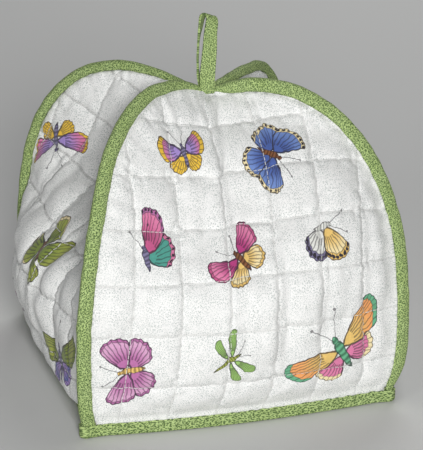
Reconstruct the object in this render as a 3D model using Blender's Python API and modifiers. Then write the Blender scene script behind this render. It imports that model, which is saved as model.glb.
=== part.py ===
"""Quilted cotton tea cosy.

Four panels are cut from one arched pattern and quilted in squares. Their side
edges meet two by two in standing seams, bound by a folded strip that runs over
the front arch and another that runs over the back arch. A third strip binds
the hem, and a loop straddles the place where the two arches meet.

The pattern lies flat in (s, t): s across from its middle, t up from the hem.
Tables are in millimetres from the middle of the hem, the model is in metres,
+Z is up and the front panel faces -Y. The origin is on the ground under the
middle of the whole cosy.
"""
import bmesh
import bpy
import numpy as np
from mathutils import Vector

MM = 0.001
PLAN_CENTRE = (2.8, -6.5, 0.0)

# Pattern of one panel
PATTERN_HEIGHT = 267.0
HEM_HALF_WIDTH = 126.0
WIDEST_HALF_WIDTH = 137.0
ARCH_STARTS = 105.0
ARCH_POWER = 2.2
EDGE_SAMPLES = 900

# Quilting
PITCH = 38.0
FIRST_COLUMN = 14.0
FIRST_ROW = 2.0
CELLS_PER_PITCH = 4
PUFF_THICKNESS = 7.5
PUFF_ROUNDNESS = 0.4
CHANNEL_SHARE = 0.3
MERGE_WIDTH = 2.9
TRIM_SLACK = 0.05
TRIM_CUTS = 33
SWELL_WIDTH = 15.0
EDGE_THICKNESS = 1.4

# Standing seams and their bindings
SEAM_DEPTH = 10.0
CLEARANCE = 0.3
SEAM_CLEARANCE = 0.6
STRIP_THICKNESS = 0.9
FOLD = STRIP_THICKNESS + CLEARANCE
FOLD_ROUNDING = 1.7
ARCH_STATIONS = 90
APEX_CLIP = 10.0
SEAM_FOOT_SHARE = 0.45
SEAM_FULL_DEPTH_AT = 0.16
SEAM_FOOT_GAP = 0.010
LIP_BACK = 2.0

# Hem
HEM_STAND = 11.5
HEM_LIFT = STRIP_THICKNESS + 2.0 * CLEARANCE
HEM_STRIP_HEIGHT = 11.2
HEM_CORNER_KEEP = 9.0
HEM_LEVELS_BY = 30.0
HEM_STATIONS = 15
HEM_ROUNDING = 0.8

# Hanging loop
LOOP_THICKNESS = 1.6

COLOURS = {
    "quilt": (0.80, 0.82, 0.76),
    "green": (0.36, 0.46, 0.17),
}

# The panels' cut edges in the standing seams, from left foot to right foot;
# "run" goes 0 at the left foot, 1 at the top junction and 2 at the right foot,
# by seam length. Heights are from the panels' own hem.
ARCH_COLUMNS = ("run", "x", "y", "z")
FRONT_ARCH = (
    (0.00, -124, -127, 0),
    (0.08, -128, -130, 26),
    (0.16, -129, -132, 54),
    (0.32, -126, -132, 108),
    (0.48, -112, -111, 157),
    (0.64, -92, -82, 197),
    (0.80, -54, -48, 223),
    (0.92, -18, -30, 217),
    (1.00, 0, -23, 208),
    (1.08, 20, -27, 213),
    (1.20, 57, -46, 216),
    (1.36, 97, -72, 187),
    (1.52, 116, -96, 143),
    (1.68, 119, -118, 98),
    (1.84, 117, -128, 48),
    (1.92, 113, -131, 22),
    (2.00, 107, -130, 0),
)
BACK_ARCH = (
    (0.00, -104, 116, 0),
    (0.16, -112, 119, 54),
    (0.32, -111, 114, 108),
    (0.48, -102, 98, 163),
    (0.64, -77, 69, 206),
    (0.80, -39, 29, 220),
    (0.92, -12, -5, 213),
    (1.00, 0, -15, 208),
    (1.08, 14, -7, 213),
    (1.20, 43, 24, 214),
    (1.36, 76, 67, 196),
    (1.52, 103, 96, 148),
    (1.68, 120, 118, 102),
    (1.84, 127, 127, 51),
    (2.00, 124, 124, 0),
)

# How far each panel's rows stand out from, and rise above, the straight line
# between their two seams, at a quarter, a half and three quarters across, in
# hundredths of the row's half width.
DRAPE_COLUMNS = ("t", "out_1", "out_2", "out_3", "up_1", "up_2", "up_3")
DRAPE = {
    "front": (
        (0, 1, 2, 1, 0, 0, 0),
        (20, 7, 9, 6, 0, 0, 0),
        (45, 10, 13, 8, -1, -1, -1),
        (75, 10, 15, 10, 0, 0, 0),
        (110, 6, 12, 13, -2, 1, 2),
        (145, -2, 2, 10, -5, -3, 3),
        (180, -6, -5, 4, -6, -5, 3),
        (210, -7, -10, -5, -7, -9, -2),
        (235, -9, -17, -13, -10, -17, -10),
        (257, -8, -14, -10, -9, -20, -11),
    ),
    "right": (
        (0, 2, 3, 2, 0, 0, 0),
        (20, 15, 20, 13, 0, 0, 0),
        (45, 11, 14, 9, -3, -3, -2),
        (75, -5, -7, -4, -7, -9, -6),
        (110, -13, -19, -12, -11, -16, -10),
        (145, -18, -30, -18, -11, -19, -12),
        (180, -19, -34, -20, -9, -18, -10),
        (210, -20, -37, -21, -9, -18, -10),
        (235, -21, -43, -22, -9, -20, -11),
        (257, -20, -42, -20, -8, -22, -10),
    ),
    "back": (
        (0, 2, 3, 2, 0, 0, 0),
        (20, 9, 12, 9, -1, -2, -1),
        (45, -1, -2, -1, -5, -7, -5),
        (75, -9, -12, -7, -8, -11, -6),
        (110, -17, -24, -14, -12, -17, -9),
        (145, -23, -34, -18, -14, -20, -11),
        (180, -24, -40, -22, -13, -22, -12),
        (210, -23, -44, -23, -12, -24, -12),
        (235, -23, -46, -23, -11, -24, -12),
        (257, -20, -40, -20, -9, -22, -10),
    ),
    "left": (
        (0, -4, -7, -3, 0, 0, 0),
        (20, 6, 6, 4, 0, 0, 0),
        (45, 13, 12, 7, -2, -2, -1),
        (75, 17, 17, 9, -2, -3, -2),
        (105, 9, 6, 0, -3, -6, -5),
        (135, -6, -13, -19, -6, -12, -16),
        (165, -17, -31, -28, -11, -20, -19),
        (195, -24, -40, -27, -13, -24, -14),
        (220, -25, -45, -26, -13, -26, -13),
        (240, -25, -47, -25, -12, -26, -12),
        (257, -22, -44, -22, -10, -24, -10),
    ),
}
QUARTERS = (-1.0, -0.5, 0.0, 0.5, 1.0)

# Main creases: soft troughs (out below 0) and ridges (out above 0), each along
# a straight line of the pattern. Columns: s_1, t_1, s_2, t_2, out, width.
CREASES = {
    "front": (
        (14, 130, 14, 232, 1.5, 10),
        (27, 38, 31, 108, -1.6, 8),
        (-62, 60, -58, 190, -1.0, 9),
        (52, 70, 50, 200, -1.0, 9),
    ),
    "right": (
        (-26, 80, -20, 180, -3.0, 10),
        (16, 60, 12, 168, -3.0, 10),
        (-80, 116, 60, 114, -2.0, 9),
    ),
    "back": (
        (-24, 90, -30, 190, -3.0, 10),
        (34, 70, 26, 170, 2.5, 12),
        (-90, 78, 50, 80, -2.0, 9),
    ),
    "left": (
        (14, 88, 16, 168, -3.4, 9),
        (-4, 92, -4, 160, 2.4, 11),
        (-24, 98, -22, 178, -2.8, 9),
        (52, 56, 53, 132, -2.4, 9),
        (-62, 112, -58, 192, -2.0, 9),
        (-100, 78, 92, 79, -2.0, 9),
        (-90, 116, 40, 117, -1.6, 9),
    ),
}

# Which seams each panel joins: arch, whether it is that arch's right half,
# and the face of the seam it lies on (+1 towards the front).
SEAMS = {
    "front": (("front", False, 1), ("front", True, 1)),
    "right": (("front", True, -1), ("back", True, 1)),
    "back": (("back", True, -1), ("back", False, -1)),
    "left": (("back", False, 1), ("front", False, -1)),
}

# The loop's middle line, front leg first.
LOOP_COLUMNS = ("x", "y", "z", "half_width")
LOOP = (
    (-3.0, -36.8, 207, 6.2),
    (-3.0, -34.0, 215, 6.2),
    (-2.4, -30.2, 230, 6.1),
    (-1.2, -27.5, 246, 5.9),
    (-0.3, -26.0, 259, 5.4),
    (0.0, -23.0, 268, 5.0),
    (-0.4, -19.5, 268.5, 5.0),
    (-1.2, -16.5, 259, 5.4),
    (-2.2, -15.5, 246, 5.9),
    (-2.8, -15.5, 231, 6.1),
    (-3.0, -17.0, 217, 6.2),
)
LOOP_STATIONS = 40


def placed(point):
    """A point of the model, in metres, from millimetres off the hem's middle."""
    return Vector(np.asarray(point, float) - PLAN_CENTRE) * MM


def columns(table, names):
    """A table's columns by name."""
    return dict(zip(names, np.array(table, float).T))


def curve_through(knots, values):
    """Natural cubic spline; returns a function of position."""
    x = np.asarray(knots, float)
    y = np.asarray(values, float)
    if y.ndim == 1:
        y = y[:, None]
    gap = np.diff(x)
    slope = np.diff(y, axis=0) / gap[:, None]
    system = np.eye(len(x))
    bend = np.zeros_like(y)
    for i in range(1, len(x) - 1):
        system[i, i - 1] = gap[i - 1]
        system[i, i] = 2.0 * (gap[i - 1] + gap[i])
        system[i, i + 1] = gap[i]
        bend[i] = 6.0 * (slope[i] - slope[i - 1])
    second = np.linalg.solve(system, bend)

    def at(position):
        p = np.atleast_1d(np.asarray(position, float))
        i = np.clip(np.searchsorted(x, p) - 1, 0, len(gap) - 1)
        g = gap[i][:, None]
        a = (x[i + 1] - p)[:, None] / g
        b = (p - x[i])[:, None] / g
        cubic = (a**3 - a) * second[i] + (b**3 - b) * second[i + 1]
        return a * y[i] + b * y[i + 1] + cubic * g * g / 6.0

    return at


def unit(vectors):
    return vectors / np.maximum(np.linalg.norm(vectors, axis=-1, keepdims=True), 1e-9)


def ease(x):
    """Smooth step from 0 to 1."""
    x = np.clip(x, 0.0, 1.0)
    return x * x * (3.0 - 2.0 * x)


def half_width(t):
    """Half of the pattern's width at height t."""
    t = np.asarray(t, float)
    side = HEM_HALF_WIDTH + (WIDEST_HALF_WIDTH - HEM_HALF_WIDTH) * ease(t / ARCH_STARTS)
    high = np.clip((t - ARCH_STARTS) / (PATTERN_HEIGHT - ARCH_STARTS), 0.0, 1.0)
    return side * (1.0 - high**ARCH_POWER) ** (1.0 / ARCH_POWER)


class Pattern:
    """The flat cut edge, and the seam line that lies a seam's depth inside it."""

    def __init__(self):
        rise = PATTERN_HEIGHT * np.sin(np.linspace(0.0, np.pi / 2.0, EDGE_SAMPLES))
        edge = np.column_stack([half_width(rise), rise])
        steps = np.linalg.norm(np.diff(edge, axis=0), axis=1)
        length = np.concatenate([[0.0], np.cumsum(steps)])
        self.share = length / length[-1]
        self.edge = edge
        along = unit(np.gradient(edge, length, axis=0))
        inward = np.column_stack([-along[:, 1], along[:, 0]])
        seam = edge + SEAM_DEPTH * inward
        keep = (seam[:, 0] >= 0.0) & (np.gradient(seam[:, 1]) > 0.0)
        self.seam = np.vstack([seam[keep], [0.0, PATTERN_HEIGHT - SEAM_DEPTH]])
        self.seam_share = np.append(self.share[keep], 1.0)
        self.seam_top = PATTERN_HEIGHT - SEAM_DEPTH

    def seam_half_width(self, t):
        return np.interp(t, self.seam[:, 1], self.seam[:, 0])

    def height_where(self, half):
        """Height at which the seam lines are twice "half" apart, near the top."""
        arch = self.seam[self.seam[:, 1] > ARCH_STARTS]
        return float(np.interp(-half, -arch[:, 0], arch[:, 1]))

    def share_at(self, t):
        return np.interp(t, self.seam[:, 1], self.seam_share)

    def nearest(self, s, t):
        """Share and distance of the seam line's point nearest to (s, t)."""
        gaps = np.hypot(self.seam[:, 0] - abs(s), self.seam[:, 1] - t)
        closest = int(np.argmin(gaps))
        return float(self.seam_share[closest]), float(gaps[closest])

    def seam_point(self, s, t):
        share = self.nearest(s, t)[0]
        across = np.interp(share, self.seam_share, self.seam[:, 0])
        height = np.interp(share, self.seam_share, self.seam[:, 1])
        return float(np.copysign(across, s)), float(height)


PATTERN = Pattern()


class Arch:
    """A standing seam: where its binding folds over, the ways out and across, its depth."""

    def __init__(self, table):
        rows = columns(table, ARCH_COLUMNS)
        self.line = curve_through(rows["run"], np.column_stack([rows["x"], rows["y"], rows["z"]]))

    def frame(self, run):
        run = np.atleast_1d(run)
        along = unit(self.line(run + 0.004) - self.line(run - 0.004))
        across = np.array([[0.0, -1.0, 0.0]]) - along * (-along[:, 1:2])
        across = unit(across)
        out = np.cross(across, along)
        share = 1.0 - np.abs(run - 1.0)
        rise = np.clip(share / SEAM_FULL_DEPTH_AT, 0.0, 1.0)
        depth = SEAM_DEPTH * (SEAM_FOOT_SHARE + (1.0 - SEAM_FOOT_SHARE) * rise)
        fold = self.line(run) + out * FOLD
        fold[:, 2] += HEM_LIFT
        return fold, out, across, depth[:, None] + FOLD


ARCHES = {"front": Arch(FRONT_ARCH), "back": Arch(BACK_ARCH)}
FACE_OFFSET = (EDGE_THICKNESS + SEAM_CLEARANCE) / 2.0


def seam_edge(seam, share, inward):
    """A point of a panel in a standing seam: inward is 0 at its cut edge, 1 at its stitching."""
    arch, right_half, face = seam
    share = np.atleast_1d(share)
    run = 2.0 - share if right_half else share
    fold, out, across, depth = ARCHES[arch].frame(run)
    below = FOLD + (depth - FOLD) * inward
    return fold - out * below + across * (face * FACE_OFFSET)


def crease(name, s, t):
    """How far the creases push a panel's points out or in."""
    push = np.zeros(len(s))
    for s_1, t_1, s_2, t_2, out, width in CREASES[name]:
        run = np.array([s_2 - s_1, t_2 - t_1], float)
        along = ((s - s_1) * run[0] + (t - t_1) * run[1]) / (run @ run)
        along = np.clip(along, 0.0, 1.0)
        gap = np.hypot(s - s_1 - along * run[0], t - t_1 - along * run[1])
        push += out * np.exp(-((gap / width) ** 2))
    return push


class Drape:
    """Where each point of one panel's pattern hangs, in millimetres."""

    def __init__(self, name):
        self.name = name
        self.left, self.right = SEAMS[name]
        rows = columns(DRAPE[name], DRAPE_COLUMNS)
        stands = [rows[column] for column in DRAPE_COLUMNS[1:]]
        self.rows = curve_through(rows["t"], np.column_stack(stands))

    def hang(self, s, level):
        """Where the body of the panel hangs above its hem."""
        share = PATTERN.share_at(level)
        start = seam_edge(self.left, share, 1.0)
        end = seam_edge(self.right, share, 1.0)
        reach = PATTERN.seam_half_width(level)
        p = np.clip(s / np.maximum(reach, 0.5), -1.0, 1.0)
        middle = (start + end) / 2.0
        half = (end - start) / 2.0
        chord = unit(half)
        outward = unit(np.column_stack([chord[:, 1], -chord[:, 0], np.zeros(len(s))]))
        leave = ease((reach - np.abs(s)) / SWELL_WIDTH)
        stand = self.rows(level) / 100.0 * (reach * leave)[:, None]
        weights = np.array([curve_through(QUARTERS, np.eye(5))(q)[0] for q in p])
        out = (weights[:, 1:4] * stand[:, 0:3]).sum(axis=1)
        out += crease(self.name, s, level) * leave
        up = (weights[:, 1:4] * stand[:, 3:6]).sum(axis=1)
        where = middle + half * p[:, None] + outward * out[:, None]
        where[:, 2] += up
        return where

    def body(self, s, t):
        """The whole body: its hem is level, and stands just above the ground."""
        s = np.atleast_1d(np.asarray(s, float))
        t = np.atleast_1d(np.asarray(t, float))
        where = self.hang(s, np.clip(t, HEM_STAND, PATTERN.seam_top))
        low = HEM_LIFT + HEM_STAND - self.hang(s, np.full(len(s), HEM_STAND))[:, 2]
        where[:, 2] += low * (1.0 - ease((t - HEM_STAND) / HEM_LEVELS_BY))
        where[:, 2] += np.minimum(t - HEM_STAND, 0.0)
        return where

    def edge(self, s, share):
        seam = self.left if s < 0.0 else self.right
        where = seam_edge(seam, share, 0.0)[0]
        where[2] = max(where[2], HEM_LIFT + HEM_STAND)
        return where


def quilt_share(s, t):
    """Thickness of the quilt at a point, as a share of the puffs' own."""
    edge = EDGE_THICKNESS / PUFF_THICKNESS
    puff = 1.0
    for value, first in ((s, FIRST_COLUMN), (t, FIRST_ROW)):
        phase = ((value - first) / PITCH) % 1.0
        puff *= np.sin(np.pi * phase) ** PUFF_ROUNDNESS if 0.02 < phase < 0.98 else 0.0
    inside = min(PATTERN.nearest(s, t)[1], t - HEM_STAND)
    swell = np.clip(inside / SWELL_WIDTH, 0.0, 1.0)
    full = CHANNEL_SHARE + (1.0 - CHANNEL_SHARE) * puff
    return edge + (full - edge) * swell


def grid_lines(first, low, high):
    step = PITCH / CELLS_PER_PITCH
    start = int(np.floor((low - first) / step))
    stop = int(np.ceil((high - first) / step))
    return first + step * start, stop - start


def flat_quilt(bm, top):
    """Body of the pattern as a square grid, trimmed to the seam line and at its top."""
    reach = WIDEST_HALF_WIDTH - SEAM_DEPTH
    s0, columns = grid_lines(FIRST_COLUMN, -reach, reach)
    t0, rows = grid_lines(FIRST_ROW, FIRST_ROW, PATTERN.seam_top)
    step = PITCH / CELLS_PER_PITCH
    bmesh.ops.create_grid(bm, x_segments=columns, y_segments=rows, size=0.5)
    size = Vector((columns * step, rows * step, 1.0))
    middle = Vector((s0 + size.x / 2.0, t0 + size.y / 2.0, 0.0))
    for vert in bm.verts:
        vert.co = Vector((vert.co.x * size.x, vert.co.y * size.y, 0.0)) + middle
        if vert.co.y < FIRST_ROW + 0.1:
            vert.co.y = 0.0

    def trim(point, away):
        everything = bm.verts[:] + bm.edges[:] + bm.faces[:]
        bmesh.ops.bisect_plane(
            bm, geom=everything, dist=TRIM_SLACK, plane_co=point, plane_no=away, clear_outer=True
        )

    trim(Vector((0.0, top, 0.0)), Vector((0.0, 1.0, 0.0)))
    ends = np.linspace(0.0, len(PATTERN.seam) - 1, TRIM_CUTS + 1).astype(int)
    for a, b in zip(ends[:-1], ends[1:]):
        for side in (1.0, -1.0):
            p = PATTERN.seam[a]
            q = PATTERN.seam[b]
            away = Vector(((q[1] - p[1]) * side, -(q[0] - p[0]), 0.0)).normalized()
            trim(Vector((p[0] * side, p[1], 0.0)), away)
    bmesh.ops.remove_doubles(bm, verts=bm.verts, dist=MERGE_WIDTH)
    for vert in bm.verts:
        on_top = vert.co.y > top - TRIM_SLACK and abs(vert.co.x) < APEX_CLIP - MERGE_WIDTH
        if vert.is_boundary and vert.co.y > 0.1 and not on_top:
            place = PATTERN.seam_point(vert.co.x, vert.co.y)
            vert.co = Vector((*place, 0.0))


def bound_edges(bm, top):
    """Boundary edges that go into a standing seam."""
    chosen = []
    for edge in bm.edges:
        if not edge.is_boundary:
            continue
        a, b = (vert.co for vert in edge.verts)
        if max(a.y, b.y) < HEM_STAND + 0.1 or min(a.y, b.y) < 0.1:
            continue
        if min(a.y, b.y) > top - TRIM_SLACK:
            continue
        chosen.append(edge)
    return chosen


def make_material(name, colour, roughness):
    material = bpy.data.materials.new(name)
    material.use_nodes = True
    shader = material.node_tree.nodes["Principled BSDF"]
    shader.inputs["Base Color"].default_value = (*colour, 1.0)
    shader.inputs["Roughness"].default_value = roughness
    shader.inputs["Metallic"].default_value = 0.0
    return material


def finish(name, bm, collection, colour):
    bmesh.ops.recalc_face_normals(bm, faces=bm.faces)
    mesh = bpy.data.meshes.new(name)
    bm.to_mesh(mesh)
    bm.free()
    mesh.shade_smooth()
    mesh.set_sharp_from_angle(angle=1.0)
    thing = bpy.data.objects.new(name, mesh)
    mesh.materials.append(make_material(name, COLOURS[colour], 0.95))
    collection.objects.link(thing)
    return thing


def make_panel(side, collection):
    """One quilted panel: an open surface given its thickness by Solidify."""
    top = PATTERN.height_where(APEX_CLIP) if side in ("left", "right") else PATTERN_HEIGHT
    drape = Drape(side)
    bm = bmesh.new()
    flat_quilt(bm, top)
    made = bmesh.ops.extrude_edge_only(bm, edges=bound_edges(bm, top))["geom"]
    rims = {v for v in made if isinstance(v, bmesh.types.BMVert)}
    bm.verts.ensure_lookup_table()
    body = [v for v in bm.verts if v not in rims]
    hung = drape.body([v.co.x for v in body], [v.co.y for v in body])
    places = {v: placed(p) for v, p in zip(body, hung)}
    thickness = {v: float(quilt_share(v.co.x, v.co.y)) for v in bm.verts}
    for v in rims:
        share = PATTERN.nearest(v.co.x, v.co.y)[0]
        places[v] = placed(drape.edge(v.co.x, share))
    for v, place in places.items():
        v.co = place
    bm.normal_update()
    shares = [thickness[v] for v in bm.verts]
    panel = finish("panel_" + side, bm, collection, "quilt")
    loft = panel.vertex_groups.new(name="quilt_thickness")
    for index, share in enumerate(shares):
        loft.add([index], share, "REPLACE")
    solidify = panel.modifiers.new("Quilt", "SOLIDIFY")
    solidify.thickness = PUFF_THICKNESS * MM
    solidify.offset = 0.0
    solidify.vertex_group = "quilt_thickness"
    return panel


def loft(bm, rings, closed):
    """Skin a list of equal rings of points; close it into a loop or cap its ends."""
    loops = [[bm.verts.new(placed(p)) for p in ring] for ring in rings]
    count = len(loops[0])
    spans = len(loops) if closed else len(loops) - 1
    for i in range(spans):
        a = loops[i]
        b = loops[(i + 1) % len(loops)]
        for j in range(count):
            k = (j + 1) % count
            bm.faces.new((a[j], a[k], b[k], b[j]))
    if not closed:
        bm.faces.new(loops[0])
        bm.faces.new(loops[-1])


def strip_section(seam_depth):
    """The folded strip across a standing seam: (depth inwards, across)."""
    inner = EDGE_THICKNESS + 1.5 * SEAM_CLEARANCE
    outer = inner + STRIP_THICKNESS
    lip = seam_depth - LIP_BACK
    return (
        (lip, outer),
        (FOLD_ROUNDING, outer),
        (0.0, outer - FOLD_ROUNDING),
        (0.0, FOLD_ROUNDING - outer),
        (FOLD_ROUNDING, -outer),
        (lip, -outer),
        (lip, -inner),
        (STRIP_THICKNESS, -inner),
        (STRIP_THICKNESS, inner),
        (lip, inner),
    )


def make_arch_binding(name, arch, collection):
    first = PATTERN.share_at(HEM_STAND) + SEAM_FOOT_GAP
    runs = np.linspace(first, 2.0 - first, ARCH_STATIONS)
    folds, out, across, depths = ARCHES[arch].frame(runs)
    rings = []
    for point, o, a, depth in zip(folds, out, across, depths[:, 0]):
        rings.append([point - o * inward + a * side for inward, side in strip_section(depth)])
    bm = bmesh.new()
    loft(bm, rings, closed=False)
    return finish(name, bm, collection, "green")


def hem_path():
    """Plan of the hem's middle line, anticlockwise from the front left corner."""
    path = []
    corners = []
    for side in ("front", "right", "back", "left"):
        drape = Drape(side)
        reach = float(PATTERN.seam_half_width(HEM_STAND))
        keep = reach - HEM_CORNER_KEEP
        middle = np.linspace(-keep, keep, HEM_STATIONS)
        stations = np.concatenate([[-reach], middle, [reach]])
        if side in ("left", "right"):
            stations = middle
        row = drape.body(stations, np.zeros(len(stations)))[:, :2]
        if side in ("front", "back"):
            corners += [len(path), len(path) + len(row) - 1]
        path += list(row)
    return np.array(path), corners


def make_hem_binding(collection):
    path, corners = hem_path()
    inner = EDGE_THICKNESS / 2.0 + SEAM_CLEARANCE
    outer = inner + STRIP_THICKNESS
    ahead = unit(np.roll(path, -1, axis=0) - path)
    behind = unit(path - np.roll(path, 1, axis=0))
    along = unit(ahead + behind)
    normal = np.column_stack([along[:, 1], -along[:, 0]])
    stretch = 1.0 / np.maximum((along * ahead).sum(axis=1), 0.5)
    section = (
        (outer, HEM_STRIP_HEIGHT),
        (inner, HEM_STRIP_HEIGHT),
        (inner, STRIP_THICKNESS),
        (-inner, STRIP_THICKNESS),
        (-inner, HEM_STRIP_HEIGHT),
        (-outer, HEM_STRIP_HEIGHT),
        (-outer, HEM_ROUNDING),
        (HEM_ROUNDING - outer, 0.0),
        (outer - HEM_ROUNDING, 0.0),
        (outer, HEM_ROUNDING),
    )
    rings = []
    for point, n, m in zip(path, normal, stretch):
        rings.append([(*(point + n * across * m), z) for across, z in section])
    bm = bmesh.new()
    loft(bm, rings, closed=True)
    return finish("hem_binding", bm, collection, "green")


def make_loop(collection):
    table = columns(LOOP, LOOP_COLUMNS)
    points = np.column_stack([table["x"], table["y"], table["z"]])
    steps = np.linalg.norm(np.diff(points, axis=0), axis=1)
    at = np.concatenate([[0.0], np.cumsum(steps)])
    line = curve_through(at, points)
    width = curve_through(at, table["half_width"])
    stations = np.linspace(0.0, at[-1], LOOP_STATIONS)
    along = unit(line(stations + 0.5) - line(stations - 0.5))
    wide = unit(np.array([[1.0, 0.0, 0.0]]) - along * along[:, 0:1])
    thick = np.cross(along, wide)
    rings = []
    for here, half, w, n in zip(line(stations), width(stations), wide, thick):
        across = w * half
        depth = n * LOOP_THICKNESS / 2.0
        rings.append([here - across - depth, here + across - depth,
                      here + across + depth, here - across + depth])
    bm = bmesh.new()
    loft(bm, rings, closed=False)
    return finish("hanging_loop", bm, collection, "green")


def main():
    for thing in list(bpy.data.objects):
        bpy.data.objects.remove(thing, do_unlink=True)
    cosy = bpy.data.collections.new("tea_cosy")
    bpy.context.scene.collection.children.link(cosy)
    for side in ("front", "right", "back", "left"):
        make_panel(side, cosy)
    make_arch_binding("binding_front_arch", "front", cosy)
    make_arch_binding("binding_back_arch", "back", cosy)
    make_hem_binding(cosy)
    make_loop(cosy)


main()
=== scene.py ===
# %% [markdown]
# # A quilted cotton tea cosy, dressed on its solids
#
# The real thing is cut from four quilted panels of one arched pattern. They are
# joined edge to edge in seams that stand up, and a green tape is folded over
# each seam and over the hem. A dome could be sculpted in one piece, but cloth
# looks right when every piece keeps the size that it was cut to. So each piece
# is laid out flat on the pattern first, and then hung where it belongs.

import bmesh
import bpy
import numpy as np
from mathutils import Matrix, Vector
from mathutils.kdtree import KDTree


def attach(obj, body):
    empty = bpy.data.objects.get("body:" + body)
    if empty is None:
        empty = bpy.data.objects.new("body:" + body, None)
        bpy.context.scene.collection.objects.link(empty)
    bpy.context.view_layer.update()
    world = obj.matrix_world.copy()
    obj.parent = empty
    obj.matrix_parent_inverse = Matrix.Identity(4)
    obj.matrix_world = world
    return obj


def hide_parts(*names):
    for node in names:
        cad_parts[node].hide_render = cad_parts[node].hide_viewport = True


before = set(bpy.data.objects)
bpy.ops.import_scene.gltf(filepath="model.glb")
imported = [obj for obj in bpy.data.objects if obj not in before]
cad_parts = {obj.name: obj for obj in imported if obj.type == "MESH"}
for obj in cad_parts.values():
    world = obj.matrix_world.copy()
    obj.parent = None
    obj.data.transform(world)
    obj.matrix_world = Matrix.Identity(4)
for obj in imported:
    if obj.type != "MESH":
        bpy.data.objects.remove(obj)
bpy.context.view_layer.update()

print("packed nodes:", sorted(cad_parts))

# %% [markdown]
# ## The named sizes of the real object
#
# A maker works from a paper pattern, a quilting pitch and a tape width. The same
# few numbers drive every piece here, in millimetres from the middle of the hem,
# and a later cell adds the sizes that only its own piece needs. The model
# itself is in metres.

# %%
MM = 0.001
PLAN_CENTRE = np.array([2.8, -6.5, 0.0])

PATTERN_HEIGHT = 267.0
HEM_HALF_WIDTH = 126.0
WIDEST_HALF_WIDTH = 137.0

PITCH = 38.0
FIRST_COLUMN = 14.0
FIRST_ROW = 2.0
SWELL_WIDTH = 15.0
EDGE_THICKNESS = 1.4

SEAM_DEPTH = 10.0
SEAM_CLEARANCE = 0.6
CLEARANCE = 0.3
STRIP_THICKNESS = 0.9
FOLD = STRIP_THICKNESS + CLEARANCE

HEM_STAND = 11.5
HEM_LIFT = STRIP_THICKNESS + 2.0 * CLEARANCE
SIDES = ("front", "right", "back", "left")
print(f"pattern {2.0 * WIDEST_HALF_WIDTH:.0f} by {PATTERN_HEIGHT:.0f} mm, quilted every {PITCH:.0f} mm")

# %% [markdown]
# ## Small helpers for curves
#
# A seam in limp cloth runs in one smooth line. Straight lines between the rows
# of a table would leave kinks, so every table is read through a natural cubic
# spline, which bends as little as it can.

# %%
def unit(vectors):
    return vectors / np.maximum(np.linalg.norm(vectors, axis=-1, keepdims=True), 1e-9)


def ease(x):
    """0 below 0, 1 above 1, smooth between."""
    x = np.clip(x, 0.0, 1.0)
    return x * x * (3.0 - 2.0 * x)


def columns(table, names):
    return dict(zip(names, np.array(table, float).T))


def steps_between(points):
    return np.linalg.norm(np.diff(points, axis=0), axis=1)


def lengths_along(points):
    """How far along its line each point lies, from 0 at the first."""
    return np.concatenate([[0.0], np.cumsum(steps_between(points))])


def curve_through(knots, values):
    """Natural cubic spline; returns a function of position."""
    x = np.asarray(knots, float)
    y = np.asarray(values, float)
    gap = np.diff(x)
    slope = np.diff(y, axis=0) / gap[:, None]
    system = np.eye(len(x))
    bend = np.zeros_like(y)
    for i in range(1, len(x) - 1):
        system[i, i - 1] = gap[i - 1]
        system[i, i] = 2.0 * (gap[i - 1] + gap[i])
        system[i, i + 1] = gap[i]
        bend[i] = 6.0 * (slope[i] - slope[i - 1])
    second = np.linalg.solve(system, bend)

    def at(position):
        p = np.atleast_1d(np.asarray(position, float))
        i = np.clip(np.searchsorted(x, p) - 1, 0, len(gap) - 1)
        g = gap[i][:, None]
        a = (x[i + 1] - p)[:, None] / g
        b = (p - x[i])[:, None] / g
        cubic = (a**3 - a) * second[i] + (b**3 - b) * second[i + 1]
        return a * y[i] + b * y[i + 1] + cubic * g * g / 6.0

    return at


# %% [markdown]
# ## Seeded ripples
#
# No two stretches of cloth lie alike. A noise texture could push the mesh about,
# but a sum of a few seeded waves is smooth, cheap, and the same in every run.

# %%
WAVE_COUNT = 24
WAVE_PEAK = 1.6


def waves(seed, s, t, shortest, longest):
    """A smooth random height over the flat cloth, about -1 to 1."""
    rng = np.random.default_rng(seed)
    total = np.zeros(len(s))
    for _ in range(WAVE_COUNT):
        turn = rng.uniform(0.0, 2.0 * np.pi)
        length = rng.uniform(shortest, longest)
        phase = rng.uniform(0.0, 2.0 * np.pi)
        total += np.sin(2.0 * np.pi * (s * np.cos(turn) + t * np.sin(turn)) / length + phase)
    return total / np.sqrt(WAVE_COUNT / 2.0) / WAVE_PEAK


# %% [markdown]
# ## The paper pattern
#
# One arch is cut four times. Its sides widen a little above the hem and then
# close over the top. A power of 2 would close them in an ellipse, and a little
# more than 2 gives the squarer shoulders of a cosy. The stitching runs a seam's
# depth inside the cut edge.

# %%
ARCH_STARTS = 105.0
ARCH_POWER = 2.2
EDGE_SAMPLES = 900
FINE_SAMPLES = 6000


def half_width(t):
    t = np.asarray(t, float)
    side = HEM_HALF_WIDTH + (WIDEST_HALF_WIDTH - HEM_HALF_WIDTH) * ease(t / ARCH_STARTS)
    high = np.clip((t - ARCH_STARTS) / (PATTERN_HEIGHT - ARCH_STARTS), 0.0, 1.0)
    return side * (1.0 - high**ARCH_POWER) ** (1.0 / ARCH_POWER)


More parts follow.
